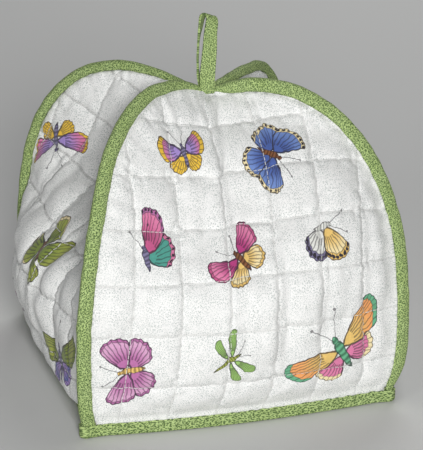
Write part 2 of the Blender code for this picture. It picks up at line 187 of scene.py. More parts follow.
class Pattern:
    """The flat cut edge, and the seam line inside it."""

    def __init__(self):
        rise = PATTERN_HEIGHT * np.sin(np.linspace(0.0, np.pi / 2.0, EDGE_SAMPLES))
        edge = np.column_stack([half_width(rise), rise])
        length = lengths_along(edge)
        self.length = length[-1]
        self.cut_area = 2.0 * float(((edge[1:, 0] + edge[:-1, 0]) / 2.0 * np.diff(rise)).sum())
        along = unit(np.gradient(edge, length, axis=0))
        seam = edge + SEAM_DEPTH * np.column_stack([-along[:, 1], along[:, 0]])
        keep = (seam[:, 0] >= 0.0) & (np.gradient(seam[:, 1]) > 0.0)
        self.seam_top = PATTERN_HEIGHT - SEAM_DEPTH
        self.seam = np.vstack([seam[keep], [0.0, self.seam_top]])
        self.seam_share = np.append((length / length[-1])[keep], 1.0)
        self.fine_share = np.linspace(self.seam_share[0], 1.0, FINE_SAMPLES)
        self.fine = np.column_stack(
            [np.interp(self.fine_share, self.seam_share, self.seam[:, i]) for i in (0, 1)]
        )
        self.tree = KDTree(FINE_SAMPLES)
        for i, (s, t) in enumerate(self.fine):
            self.tree.insert((s, t, 0.0), i)
        self.tree.balance()

    def seam_half_width(self, t):
        return np.interp(t, self.seam[:, 1], self.seam[:, 0])

    def height_where(self, half):
        arch = self.seam[self.seam[:, 1] > ARCH_STARTS]
        return float(np.interp(-half, -arch[:, 0], arch[:, 1]))

    def share_at(self, t):
        return np.interp(t, self.seam[:, 1], self.seam_share)

    def nearest(self, s, t):
        """Share, distance and place of the seam line's point nearest to each (s, t)."""
        found = [self.tree.find((abs(x), y, 0.0)) for x, y in zip(s, t)]
        index = np.array([hit[1] for hit in found])
        gap = np.array([hit[2] for hit in found])
        return self.fine_share[index], gap, self.fine[index]


PATTERN = Pattern()
print(f"cut edge {PATTERN.length:.0f} mm a side, cut area {PATTERN.cut_area / 1e6:.4f} m2")

# %% [markdown]
# ## The two standing seams
#
# One seam line runs from the front left corner of the hem over the top junction
# to the front right corner, and another does the same at the back. A row of a
# table is a point of the line: "run" is 0 at the left foot, 1 at the junction
# and 2 at the right foot, by seam length, and the rest is in millimetres.

# %%
ARCH_COLUMNS = ("run", "x", "y", "z")
FRONT_ARCH = (
    (0.00, -124, -127, 0),
    (0.08, -128, -130, 26),
    (0.16, -129, -132, 54),
    (0.32, -126, -132, 108),
    (0.48, -112, -111, 157),
    (0.64, -92, -82, 197),
    (0.80, -54, -48, 224),
    (0.92, -18, -28, 220),
    (1.00, 0, -23, 213),
    (1.08, 20, -27, 218),
    (1.20, 57, -46, 217),
    (1.36, 97, -72, 187),
    (1.52, 116, -96, 143),
    (1.68, 119, -118, 98),
    (1.84, 117, -128, 48),
    (1.92, 112, -131, 22),
    (1.96, 106, -131, 11),
    (2.00, 104, -129, 0),
)
BACK_ARCH = (
    (0.00, -104, 116, 0),
    (0.16, -112, 119, 54),
    (0.32, -111, 114, 108),
    (0.48, -102, 98, 163),
    (0.64, -77, 69, 206),
    (0.80, -39, 29, 220),
    (0.92, -12, -5, 213),
    (1.00, 0, -15, 211),
    (1.08, 14, -7, 214),
    (1.20, 43, 24, 213),
    (1.36, 76, 67, 196),
    (1.52, 103, 96, 148),
    (1.68, 120, 118, 102),
    (1.84, 127, 127, 51),
    (2.00, 124, 124, 0),
)
print("highest rows of the seams:", max(FRONT_ARCH, key=lambda row: row[3]),
      max(BACK_ARCH, key=lambda row: row[3]))

# %% [markdown]
# ## Edges that stand up together
#
# Both panels of a seam turn up at the stitching and stand side by side to their
# cut edges, so the seam has one length in both. It stands less high at its feet,
# where the hem holds it down, and it is pinched flat where the seams cross. Each
# point of a seam therefore gets its own way out, way across and depth.

# %%
TANGENT_STEP = 0.004
SEAM_FULL_DEPTH_AT = 0.10
FOOT_SHARES = {"front": (0.95, 0.42), "back": (0.6, 0.6)}
STANDING_SHARE = {"front": 1.0, "back": 0.72}
JUNCTION_PINCH = 0.82
JUNCTION_REACH = (0.13, 0.05)
CUT_EDGE_SHARE = 0.4
FACE_OFFSET = (EDGE_THICKNESS + SEAM_CLEARANCE) / 2.0


class Arch:
    """A standing seam: where its tape folds over, the ways out and across, its depth."""

    def __init__(self, table, standing_share, foot_shares):
        self.standing_share = standing_share
        self.foot_shares = foot_shares
        rows = columns(table, ARCH_COLUMNS)
        self.line = curve_through(rows["run"], np.column_stack([rows["x"], rows["y"], rows["z"]]))

    def frame(self, run):
        run = np.atleast_1d(run)
        along = unit(self.line(run + TANGENT_STEP) - self.line(run - TANGENT_STEP))
        across = unit(np.array([[0.0, -1.0, 0.0]]) + along * along[:, 1:2])
        out = np.cross(across, along)
        rise = np.clip((1.0 - np.abs(run - 1.0)) / SEAM_FULL_DEPTH_AT, 0.0, 1.0)
        foot = np.where(run < 1.0, *self.foot_shares)
        depth = SEAM_DEPTH * (foot + (1.0 - foot) * rise) + FOLD
        depth = depth * self.standing_share
        reach = np.where(run < 1.0, *JUNCTION_REACH)
        depth = depth * (1.0 - JUNCTION_PINCH * np.exp(-(((run - 1.0) / reach) ** 2)))
        fold = self.line(run) + out * FOLD
        fold[:, 2] += HEM_LIFT
        return fold, out, across, depth[:, None]


ARCHES = {
    name: Arch(table, STANDING_SHARE[name], FOOT_SHARES[name])
    for name, table in (("front", FRONT_ARCH), ("back", BACK_ARCH))
}


def seam_edge(seam, share, inward):
    """Points of a panel in a standing seam: inward 0 at its cut edge, 1 at its stitching."""
    arch, right_half, face = seam
    share = np.atleast_1d(share)
    run = 2.0 - share if right_half else share
    fold, out, across, depth = ARCHES[arch].frame(run)
    below = np.minimum(FOLD, CUT_EDGE_SHARE * depth)
    below = below + (depth - below) * inward
    return fold - out * below + across * (face * FACE_OFFSET)


for name, arch in ARCHES.items():
    length = steps_between(arch.line(np.linspace(0.0, 2.0, EDGE_SAMPLES))).sum()
    print(f"{name} seam: {length:.0f} mm from foot to foot")

# %% [markdown]
# ## How the rows of a panel hang
#
# Each level of the flat pattern is a row of cloth between two points of the
# seams. A cloth simulation would find a drape of its own, and any small change
# would move all its folds, so a table says how the rows hang. Its "out" and "up"
# are how far a row stands out from, and rises above, the straight line between
# its seams, at a quarter, a half and three quarters across, in hundredths of its
# half width.

# %%
DRAPE_COLUMNS = ("t", "out_1", "out_2", "out_3", "up_1", "up_2", "up_3")
DRAPE = {
    "front": (
        (0, 1, 2, 1, 0, 0, 0),
        (20, 7, 9, 6, 0, 0, 0),
        (45, 10, 13, 8, -1, -1, -1),
        (75, 10, 15, 10, 0, 0, 0),
        (110, 6, 12, 13, -2, 1, 2),
        (145, -2, 2, 10, -5, -3, 3),
        (180, -6, -5, 4, -6, -5, 3),
        (210, -7, -10, -5, -7, -9, -2),
        (235, -9, -17, -13, -10, -17, -10),
        (257, -8, -14, -10, -9, -20, -11),
    ),
    "right": (
        (0, 2, 3, 2, 0, 0, 0),
        (20, 15, 20, 13, 0, 0, 0),
        (45, 11, 14, 9, -3, -3, -2),
        (75, -5, -7, -4, -7, -9, -6),
        (110, -13, -19, -12, -11, -16, -10),
        (145, -18, -30, -18, -11, -19, -12),
        (180, -19, -34, -20, -9, -18, -10),
        (210, -20, -37, -21, -9, -18, -10),
        (235, -21, -43, -22, -9, -20, -11),
        (257, -20, -42, -20, -8, -22, -10),
    ),
    "back": (
        (0, 2, 3, 2, 0, 0, 0),
        (20, 9, 12, 9, -1, -2, -1),
        (45, -1, -2, -1, -5, -7, -5),
        (75, -9, -12, -7, -8, -11, -6),
        (110, -17, -24, -14, -12, -17, -9),
        (145, -23, -34, -18, -14, -20, -11),
        (180, -24, -40, -22, -13, -22, -12),
        (210, -23, -44, -23, -12, -24, -12),
        (235, -23, -46, -23, -11, -24, -12),
        (257, -20, -40, -20, -9, -22, -10),
    ),
    "left": (
        (0, -4, -7, -3, 0, 0, 0),
        (20, 6, 6, 4, 0, 0, 0),
        (45, 13, 12, 7, -2, -2, -1),
        (75, 17, 17, 9, -2, -3, -2),
        (105, 9, 6, 0, -3, -6, -5),
        (135, -6, -13, -19, -6, -12, -16),
        (165, -17, -31, -28, -11, -20, -19),
        (195, -24, -40, -27, -13, -24, -14),
        (220, -25, -45, -26, -13, -26, -13),
        (240, -25, -47, -25, -12, -26, -12),
        (257, -22, -44, -22, -10, -24, -10),
    ),
}
QUARTERS = (-1.0, -0.5, 0.0, 0.5, 1.0)
print("rows of drape:", {side: len(rows) for side, rows in DRAPE.items()})

# %% [markdown]
# ## Creases and folds
#
# Limp quilting creases between its stitching lines. Each crease is a soft trough
# (below 0) or ridge (above 0) along a straight line of the pattern, which is
# easier to steer than a height map. CREASES are in the solids too, and FOLDS
# are sharper ones that only the cloth has.

# %%
CREASE_COLUMNS = ("s_1", "t_1", "s_2", "t_2", "out", "width")
CREASES = {
    "front": (
        (14, 130, 14, 232, 1.5, 10),
        (27, 38, 31, 108, -1.6, 8),
        (-62, 60, -58, 190, -1.0, 9),
        (52, 70, 50, 200, -1.0, 9),
    ),
    "right": (
        (-26, 80, -20, 180, -3.0, 10),
        (16, 60, 12, 168, -3.0, 10),
        (-80, 116, 60, 114, -2.0, 9),
    ),
    "back": (
        (-24, 90, -30, 190, -3.0, 10),
        (34, 70, 26, 170, 2.5, 12),
        (-90, 78, 50, 80, -2.0, 9),
    ),
    "left": (
        (14, 88, 16, 168, -3.4, 9),
        (-4, 92, -4, 160, 2.4, 11),
        (-24, 98, -22, 178, -2.8, 9),
        (52, 56, 53, 132, -2.4, 9),
        (-62, 112, -58, 192, -2.0, 9),
        (-100, 78, 92, 79, -2.0, 9),
        (-90, 116, 40, 117, -1.6, 9),
    ),
}
FOLDS = {
    "front": (
        (-23, 70, -22, 140, 1.6, 8),
        (-22, 140, -19, 197, 3.2, 8),
        (-19, 197, -9, 248, 3.2, 7),
        (-12, 90, -11, 140, -1.4, 6),
        (-11, 140, -8, 197, -2.2, 7),
        (-8, 197, 2, 244, -2.2, 6),
        (2, 118, 9, 236, -2.2, 13),
        (14, 60, 16, 150, 1.4, 7),
        (24, 60, 26, 150, -1.5, 6),
        (18, 150, 28, 236, 1.5, 7),
        (28, 150, 38, 232, -1.5, 6),
        (50, 70, 56, 200, 1.5, 7),
        (60, 70, 66, 196, -1.5, 6),
        (87, 50, 94, 160, 1.4, 7),
        (97, 50, 103, 156, -1.4, 6),
        (-65, 50, -62, 180, 1.0, 7),
        (-54, 50, -51, 176, -1.0, 6),
        (-9, 62, -5, 100, -1.3, 4),
        (-1, 226, 3, 252, -1.6, 3.5),
        (18, 222, 21, 250, -2.0, 3.5),
        (34, 216, 34, 248, -1.8, 3.5),
        (52, 214, 49, 240, -1.2, 3.5),
        (-46, 136, -30, 150, -1.2, 5),
        (-52, 128, -36, 118, 1.0, 5),
        (60, 92, 88, 104, -1.0, 5),
        (-110, 78, -88, 88, -1.0, 5),
    ),
    "right": (
        (-44, 70, -38, 176, 2.6, 8),
        (34, 96, 44, 150, 2.2, 8),
        (4, 40, 2, 108, -1.8, 6),
        (-100, 62, -70, 96, -1.4, 6),
        (60, 70, 98, 92, -1.4, 6),
    ),
    "back": (
        (6, 60, 2, 150, -1.8, 7),
        (62, 84, 58, 160, -2.0, 7),
        (-60, 60, -66, 130, 2.0, 8),
        (20, 214, 18, 248, -1.8, 4),
        (-22, 220, -18, 250, -1.8, 4),
    ),
    "left": (
        (7, 56, 6, 132, 4.2, 7),
        (-9, 70, -10, 136, -3.2, 8),
        (-30, 86, -30, 156, -1.8, 6),
        (-20, 84, -19, 150, 1.8, 7),
        (-87, 104, -84, 142, -1.8, 6),
        (-84, 142, -66, 182, -1.8, 6),
        (44, 44, 42, 118, -1.8, 6),
        (28, 60, 26, 122, 1.4, 8),
        (88, 50, 92, 82, -1.4, 6),
        (-70, 112, 10, 108, -1.2, 5),
    ),
}


def crease(rows, s, t):
    """How far the creases push each place of the flat pattern out."""
    push = np.zeros(len(s))
    for row in rows:
        c = dict(zip(CREASE_COLUMNS, row))
        run = np.array([c["s_2"] - c["s_1"], c["t_2"] - c["t_1"]], float)
        away_s = s - c["s_1"]
        away_t = t - c["t_1"]
        along = np.clip((away_s * run[0] + away_t * run[1]) / (run @ run), 0.0, 1.0)
        gap = np.hypot(away_s - along * run[0], away_t - along * run[1])
        push += c["out"] * np.exp(-((gap / c["width"]) ** 2))
    return push


print("creases and folds:", {side: len(CREASES[side] + FOLDS[side]) for side in SIDES})

# %% [markdown]
# ## A panel between its two seams
#
# A point of the flat pattern goes to its row, is pushed out by the drape and the
# creases, and eases back to the straight line at each seam, which holds it. The
# hem row is made level, because the cosy stands on it, and the slack side panels
# roll a little over their own hem.

# %%
QUARTERS = (-1.0, -0.5, 0.0, 0.5, 1.0)
HEM_LEVELS_BY = 30.0
OVERHANG = {"front": 0.0, "right": 0.55, "back": 0.0, "left": 0.5}
OVERHANG_OUT = 7.0
OVERHANG_DROP = 17.0
OVERHANG_ROLL = 10.0
OVERHANG_FROM_SEAM = 34.0
OUT_FADES = (24.0, 74.0)
DROP_FADES = (22.0, 76.0)

# Left and right seam of each panel: the arch, whether it is its right half,
# and the face of the seam that the panel lies on
SEAMS = {
    "front": (("front", False, 1), ("front", True, 1)),
    "right": (("front", True, -1), ("back", True, 1)),
    "back": (("back", True, -1), ("back", False, -1)),
    "left": (("back", False, 1), ("front", False, -1)),
}


def fade(t, low, high):
    """1 below low, 0 above high, smooth between."""
    return 1.0 - ease((t - low) / (high - low))


class Drape:
    """Where each point of one panel's pattern hangs, in millimetres."""

    across = staticmethod(curve_through(QUARTERS, np.eye(len(QUARTERS))))

    def __init__(self, side):
        self.side = side
        self.left, self.right = SEAMS[side]
        self.creases = CREASES[side] + FOLDS[side]
        rows = columns(DRAPE[side], DRAPE_COLUMNS)
        stands = [rows[column] for column in DRAPE_COLUMNS[1:]]
        self.rows = curve_through(rows["t"], np.column_stack(stands))

    def hang(self, s, level):
        share = PATTERN.share_at(level)
        start = seam_edge(self.left, share, 1.0)
        end = seam_edge(self.right, share, 1.0)
        reach = PATTERN.seam_half_width(level)
        p = np.clip(s / np.maximum(reach, 0.5), -1.0, 1.0)
        middle = (start + end) / 2.0
        half = (end - start) / 2.0
        chord = unit(half)
        outward = unit(np.column_stack([chord[:, 1], -chord[:, 0], np.zeros(len(s))]))
        leave = ease((reach - np.abs(s)) / SWELL_WIDTH)
        stand = self.rows(level) / 100.0 * (reach * leave)[:, None]
        weights = self.across(p)[:, 1:4]
        out = (weights * stand[:, 0:3]).sum(axis=1)
        out += crease(self.creases, s, level) * leave
        where = middle + half * p[:, None] + outward * out[:, None]
        where[:, 2] += (weights * stand[:, 3:6]).sum(axis=1)
        return where

    def body(self, s, t):
        """The whole body: its hem is level, and its raw edge drops straight from there."""
        where = self.hang(s, np.clip(t, HEM_STAND, PATTERN.seam_top))
        low = HEM_LIFT + HEM_STAND - self.hang(s, np.full(len(s), HEM_STAND))[:, 2]
        where[:, 2] += low * (1.0 - ease((t - HEM_STAND) / HEM_LEVELS_BY))
        where[:, 2] += np.minimum(t - HEM_STAND, 0.0)
        return where

    def overhang(self, s, t):
        """How far the slack cloth rolls out and down over its own hem."""
        reach = PATTERN.seam_half_width(np.clip(t, HEM_STAND, PATTERN.seam_top))
        amount = OVERHANG[self.side] * ease((reach - np.abs(s)) / OVERHANG_FROM_SEAM)
        roll = ease((t - HEM_STAND) / OVERHANG_ROLL)
        out = OVERHANG_OUT * amount * roll * fade(t, *OUT_FADES)
        drop = OVERHANG_DROP * amount * roll * fade(t, *DROP_FADES)
        way = -1.0 if self.side == "left" else 1.0
        return np.column_stack([way * out, np.zeros(len(s)), -drop])

    def edge(self, s, share):
        where = np.where(
            (s < 0.0)[:, None],
            seam_edge(self.left, share, 0.0),
            seam_edge(self.right, share, 0.0),
        )
        where[:, 2] = np.maximum(where[:, 2], HEM_LIFT + HEM_STAND)
        return where


for side in SIDES:
    middle = Drape(side).body(np.zeros(1), np.full(1, PATTERN_HEIGHT / 2.0))[0]
    print(f"{side} panel: half way up, its middle hangs at", [round(float(v)) for v in middle], "mm")

# %% [markdown]
# ## Columns that lean
#
# Quilting is seldom dead straight with the grain. Here each panel's columns are
# set a little to one side, and lean more where the cloth was pulled: the front
# and the back near the top, and the two side panels low down on their left.
# Leaning the grid itself keeps stitches, puffs and puckers together.

# %%
LEAN_ROUNDS = 6
WHOLE_SHIFT, WHOLE_SHIFT_BY = 3.5, 40.0
TOP_LEAN, TOP_LEAN_FROM, TOP_LEAN_RISE = 8.0, 110.0, 140.0
TOP_LEAN_MIDDLE, TOP_LEAN_PER_MM, TOP_LEAN_LIMITS = 1.18, 0.0075, (0.3, 1.9)
CLIPPED_SHIFT, CLIPPED_SHIFT_BY = 7.5, 30.0
LOW_LEAN, LOW_LEAN_TO, LOW_LEAN_RISE = 13.0, 170.0, 50.0
LOW_LEAN_STARTS, LOW_LEAN_SPREAD = 30.0, 40.0


def lean(cut, q, t):
    """How far the stitched columns run off the straight grain, in millimetres."""
    if cut == "whole":
        more = np.clip(TOP_LEAN_MIDDLE + TOP_LEAN_PER_MM * q, *TOP_LEAN_LIMITS)
        high = TOP_LEAN * ease((t - TOP_LEAN_FROM) / TOP_LEAN_RISE) * more
        return WHOLE_SHIFT * ease(t / WHOLE_SHIFT_BY) + high
    more = np.clip((-q - LOW_LEAN_STARTS) / LOW_LEAN_SPREAD, 0.0, 1.0)
    low = ease((LOW_LEAN_TO - t) / LOW_LEAN_RISE) * more
    return -CLIPPED_SHIFT * ease(t / CLIPPED_SHIFT_BY) - LOW_LEAN * low


def column_of(cut, s, t):
    """The column place that leans onto s; the lean changes slowly, so a few rounds settle it."""
    q = s - lean(cut, s, t)
    for _ in range(LEAN_ROUNDS):
        q = s - lean(cut, q, t)
    return q


for cut in ("whole", "clipped"):
    print(f"{cut} panels lean {float(lean(cut, 0.0, PATTERN_HEIGHT)):.1f} mm at the top")

# %% [markdown]
# ## The grid of the quilt
#
# The body of a panel is a grid that is finest along the stitching, where the
# cloth turns sharply. An even grid would need many more faces for the same
# grooves.

# %%
CELLS_PER_PITCH = 22
CROWDING = 0.42


def crowd(share):
    """Grid lines crowd towards the stitching at whole numbers."""
    return share - CROWDING * np.sin(2.0 * np.pi * share) / (2.0 * np.pi)


def lay_grid(bm, cut):
    """The whole grid; its lowest row is drawn down to the raw edge."""
    reach = WIDEST_HALF_WIDTH - SEAM_DEPTH
    first = int(np.floor((-reach - FIRST_COLUMN) / PITCH)) - 1
    last = int(np.ceil((reach - FIRST_COLUMN) / PITCH)) + 1
    rows = int(np.ceil((PATTERN.seam_top - FIRST_ROW) / PITCH))
    wide = (last - first) * CELLS_PER_PITCH
    bmesh.ops.create_grid(bm, x_segments=wide, y_segments=rows * CELLS_PER_PITCH, size=0.5)
    for vert in bm.verts:
        q = FIRST_COLUMN + PITCH * crowd(first + (vert.co.x + 0.5) * (last - first))
        t = FIRST_ROW + PITCH * crowd((vert.co.y + 0.5) * rows)
        level = 0.0 if t < FIRST_ROW + 0.01 else t
        vert.co = Vector((q + float(lean(cut, q, t)), level, 0.0))


steps = PITCH * np.diff(crowd(np.arange(CELLS_PER_PITCH + 1) / CELLS_PER_PITCH))
print(f"grid lines are {steps.min():.1f} to {steps.max():.1f} mm apart")

# %% [markdown]
# ## Trimming to the seam line
#
# A maker quilts a whole cloth first and then trims it to the pattern. Here short
# straight cuts do the same, and the vertices of the new border are moved right
# onto the seam line. A Boolean would leave thin slivers along it.

# %%
MERGE_WIDTH = 0.55
TRIM_CUTS = 48
TRIM_SNAP = 0.02
APEX_CLIP = 10.0
ABOVE_HEM = 0.1
BELOW_TOP = 0.05


def trim(bm, point, away):
    """Cut along a straight line, and drop what lies on the side that away points to."""
    everything = bm.verts[:] + bm.edges[:] + bm.faces[:]
    bmesh.ops.bisect_plane(
        bm, geom=everything, dist=TRIM_SNAP, plane_co=point, plane_no=away, clear_outer=True
    )


def trim_to_seam(bm, top):
    """Cut off the top, follow the seam line in short cuts, and move the border onto it."""
    trim(bm, Vector((0.0, top, 0.0)), Vector((0.0, 1.0, 0.0)))
    ends = np.linspace(0.0, len(PATTERN.seam) - 1, TRIM_CUTS + 1).astype(int)
    for a, b in zip(ends[:-1], ends[1:]):
        for side in (1.0, -1.0):
            p = PATTERN.seam[a]
            q = PATTERN.seam[b]
            away = Vector(((q[1] - p[1]) * side, -(q[0] - p[0]), 0.0)).normalized()
            trim(bm, Vector((p[0] * side, p[1], 0.0)), away)
    bmesh.ops.remove_doubles(bm, verts=bm.verts, dist=MERGE_WIDTH)
    border = [
        v for v in bm.verts
        if v.is_boundary and v.co.y > ABOVE_HEM
        and not (v.co.y > top - BELOW_TOP and abs(v.co.x) < APEX_CLIP - MERGE_WIDTH)
    ]
    places = PATTERN.nearest([v.co.x for v in border], [v.co.y for v in border])[2]
    for v, (s, t) in zip(border, places):
        v.co = Vector((float(np.copysign(s, v.co.x)), float(t), 0.0))


print(f"{2 * TRIM_CUTS} short cuts follow the two sides of the arch")

# %% [markdown]
# ## The flat quilt
#
# Outside the seam line lies the seam allowance, which is extruded from the
# border. The front and the back keep their whole arch. The two side panels are
# cut off just below their tip, where four thick tips wouldn't fit.

# %%
def seam_edges(bm, top):
    """The border between the hem and the top, where a seam allowance belongs."""
    chosen = []
    for edge in bm.edges:
        if edge.is_boundary:
            low, high = sorted(v.co.y for v in edge.verts)
            if high >= HEM_STAND + ABOVE_HEM and ABOVE_HEM <= low <= top - BELOW_TOP:
                chosen.append(edge)
    return chosen


def flat_quilt(cut, top):
    """One flat panel, and which of its vertices are the cut edge."""
    bm = bmesh.new()
    lay_grid(bm, cut)
    trim_to_seam(bm, top)
    chosen = seam_edges(bm, top)
    seam_length = len(chosen)
    made = bmesh.ops.extrude_edge_only(bm, edges=chosen)["geom"]
    rims = {v for v in made if isinstance(v, bmesh.types.BMVert)}
    bm.verts.index_update()
    rim_indices = np.array(sorted(v.index for v in rims))
    mesh = bpy.data.meshes.new("flat")
    bm.to_mesh(mesh)
    bm.free()
    print(f"flat quilt cut at {top:.0f} mm: {len(mesh.polygons)} faces, {seam_length} seam edges")
    return mesh, rim_indices


FLAT = {
    "whole": flat_quilt("whole", PATTERN_HEIGHT),
    "clipped": flat_quilt("clipped", PATTERN.height_where(APEX_CLIP)),
}

# %% [markdown]
# ## Puffs
#
# Wadding lifts the cloth between the stitching lines, and each line pulls it
# down into a groove. A plain sine would give soft egg-box waves. Quilting is
# flat in the middle and steep at the thread, so a flat dome and a narrow groove
# are added together.

# %%
PUFF_THICKNESS = 6.8
CHANNEL_THICKNESS = 1.2
DOME_POWER = 2.6
DOME_SHARE = 0.62
GROOVE_SHARE = 0.38
GROOVE_WIDTH = 1.1
SWELL_POWER = 0.8


def to_line(value, first):
    """Distance from the nearest stitching line of one direction."""
    phase = ((value - first) / PITCH) % 1.0
    return PITCH * np.minimum(phase, 1.0 - phase)


def lift(distance):
    """How far the wadding lifts the cloth at a distance from a stitched line, 0 to 1."""
    rest = np.clip(1.0 - distance / (PITCH / 2.0), 0.0, 1.0)
    dome = 1.0 - rest**DOME_POWER
    groove = 1.0 - np.exp(-distance / GROOVE_WIDTH)
    return DOME_SHARE * dome + GROOVE_SHARE * groove


def quilt_thickness(q, t, seam_gap):
    puff = lift(to_line(q, FIRST_COLUMN)) * lift(to_line(t, FIRST_ROW))
    inside = np.minimum(seam_gap, t - HEM_STAND)
    swell = np.clip(inside / SWELL_WIDTH, 0.0, 1.0) ** SWELL_POWER
    full = CHANNEL_THICKNESS + (PUFF_THICKNESS - CHANNEL_THICKNESS) * puff
    return EDGE_THICKNESS + (full - EDGE_THICKNESS) * swell


PUFF_MIDDLE = (FIRST_COLUMN + 0.5 * PITCH, FIRST_ROW + 2.5 * PITCH)
print(f"the middle of a puff is {quilt_thickness(*PUFF_MIDDLE, SWELL_WIDTH):.1f} mm thick")

# %% [markdown]
# ## Puckers and gathers
#
# Thread is a little shorter than the cloth that it was sewn into. So the cloth
# gathers along each line in short puckers, which fade a few millimetres away
# from the thread, and in small folds that run in from the taped seams. Each
# line draws its own random waves, because a shared pattern would show.

# %%
PUCKER_REACH = 5.5
PUCKER_WAVES = 9
PUCKER_LENGTHS = (5.0, 15.0)
PUCKER_SLANT = 0.5
GATHER_WAVES = 10
GATHER_LENGTHS = (7.0, 22.0)
GATHER_PEAK = 3.2
GATHER_REACH = 11.0
GATHER_STARTS_BY = 2.5


def puckers(seed, s, t):
    """Short gathers across every stitching line, about -1 to 1."""
    rng = np.random.default_rng(seed)
    total = np.zeros(len(s))
    for across, along, first in ((s, t, FIRST_COLUMN), (t, s, FIRST_ROW)):
        index = np.round((across - first) / PITCH)
        gap = across - first - index * PITCH
        near = np.exp(-np.abs(gap) / PUCKER_REACH)
        for line in np.unique(index):
            here = index == line
            run = along[here]
            height = np.zeros(len(run))
            for _ in range(PUCKER_WAVES):
                length = rng.uniform(*PUCKER_LENGTHS)
                phase = rng.uniform(0.0, 2.0 * np.pi)
                slant = rng.uniform(-PUCKER_SLANT, PUCKER_SLANT)
                height += np.sin(2.0 * np.pi * (run + slant * gap[here]) / length + phase)
            total[here] += height / np.sqrt(PUCKER_WAVES) * near[here]
    return total


def edge_gathers(seed, share, gap):
    """Small folds that run in from the tape, where the cloth was eased into the seam."""
    rng = np.random.default_rng(seed)
    total = np.zeros(len(share))
    for _ in range(GATHER_WAVES):
        length = rng.uniform(*GATHER_LENGTHS)
        phase = rng.uniform(0.0, 2.0 * np.pi)
        total += np.sin(2.0 * np.pi * share * PATTERN.length / length + phase)
    return total / GATHER_PEAK * np.exp(-gap / GATHER_REACH) * ease(gap / GATHER_STARTS_BY)


print(f"puckers fade {PUCKER_REACH:.1f} mm from a thread, gathers {GATHER_REACH:.0f} mm from a seam")

# %% [markdown]
# ## A small language for painting cloth
#
# A print could be a picture, but arithmetic on the flat cloth stays sharp at any
# distance. Each value in a material is wrapped so that sums read as sums, and
# every other node is made by one method.

# %%
# A panel's middle line lies this far along its UV maps, in millimetres
UV_SHIFT = 150.0


def arithmetic(operation, swap=False):
    """A method that adds one Math node for this value and another."""
    def method(self, other):
        a, b = (other, self) if swap else (self, other)
        return self.paint.math(operation, a, b)
    return method


class Value:
    """One output in a material, with the arithmetic of ordinary numbers."""

    def __init__(self, paint, socket):
        self.paint = paint
        self.socket = socket

    __add__ = arithmetic("ADD")
    __radd__ = arithmetic("ADD", swap=True)
    __sub__ = arithmetic("SUBTRACT")
    __rsub__ = arithmetic("SUBTRACT", swap=True)
    __mul__ = arithmetic("MULTIPLY")
    __rmul__ = arithmetic("MULTIPLY", swap=True)
    __truediv__ = arithmetic("DIVIDE")
    __rtruediv__ = arithmetic("DIVIDE", swap=True)
    __lt__ = arithmetic("LESS_THAN")
    __gt__ = arithmetic("GREATER_THAN")
    least = arithmetic("MINIMUM")
    most = arithmetic("MAXIMUM")

    def __abs__(self):
        return self.paint.math("ABSOLUTE", self)

    def fraction(self):
        return self.paint.math("FRACT", self)

    def wave(self):
        return self.paint.math("SINE", self)

    def blend_least(self, other, reach):
        return self.paint.math("SMOOTH_MIN", self, other, reach)

    def rise(self, low, high):
        """0 below low, 1 above high, smooth between."""
        return self.paint.node(
            "ShaderNodeMapRange", {"interpolation_type": "SMOOTHSTEP"},
            {"Value": self, "From Min": low, "From Max": high},
        )


# %% [markdown]
# ## One class that makes the nodes
#
# Every node of a material is made the same way: its kind, its settings, and
# then a value or a link for each of its sockets. The few that cloth needs often
# get a name of their own.

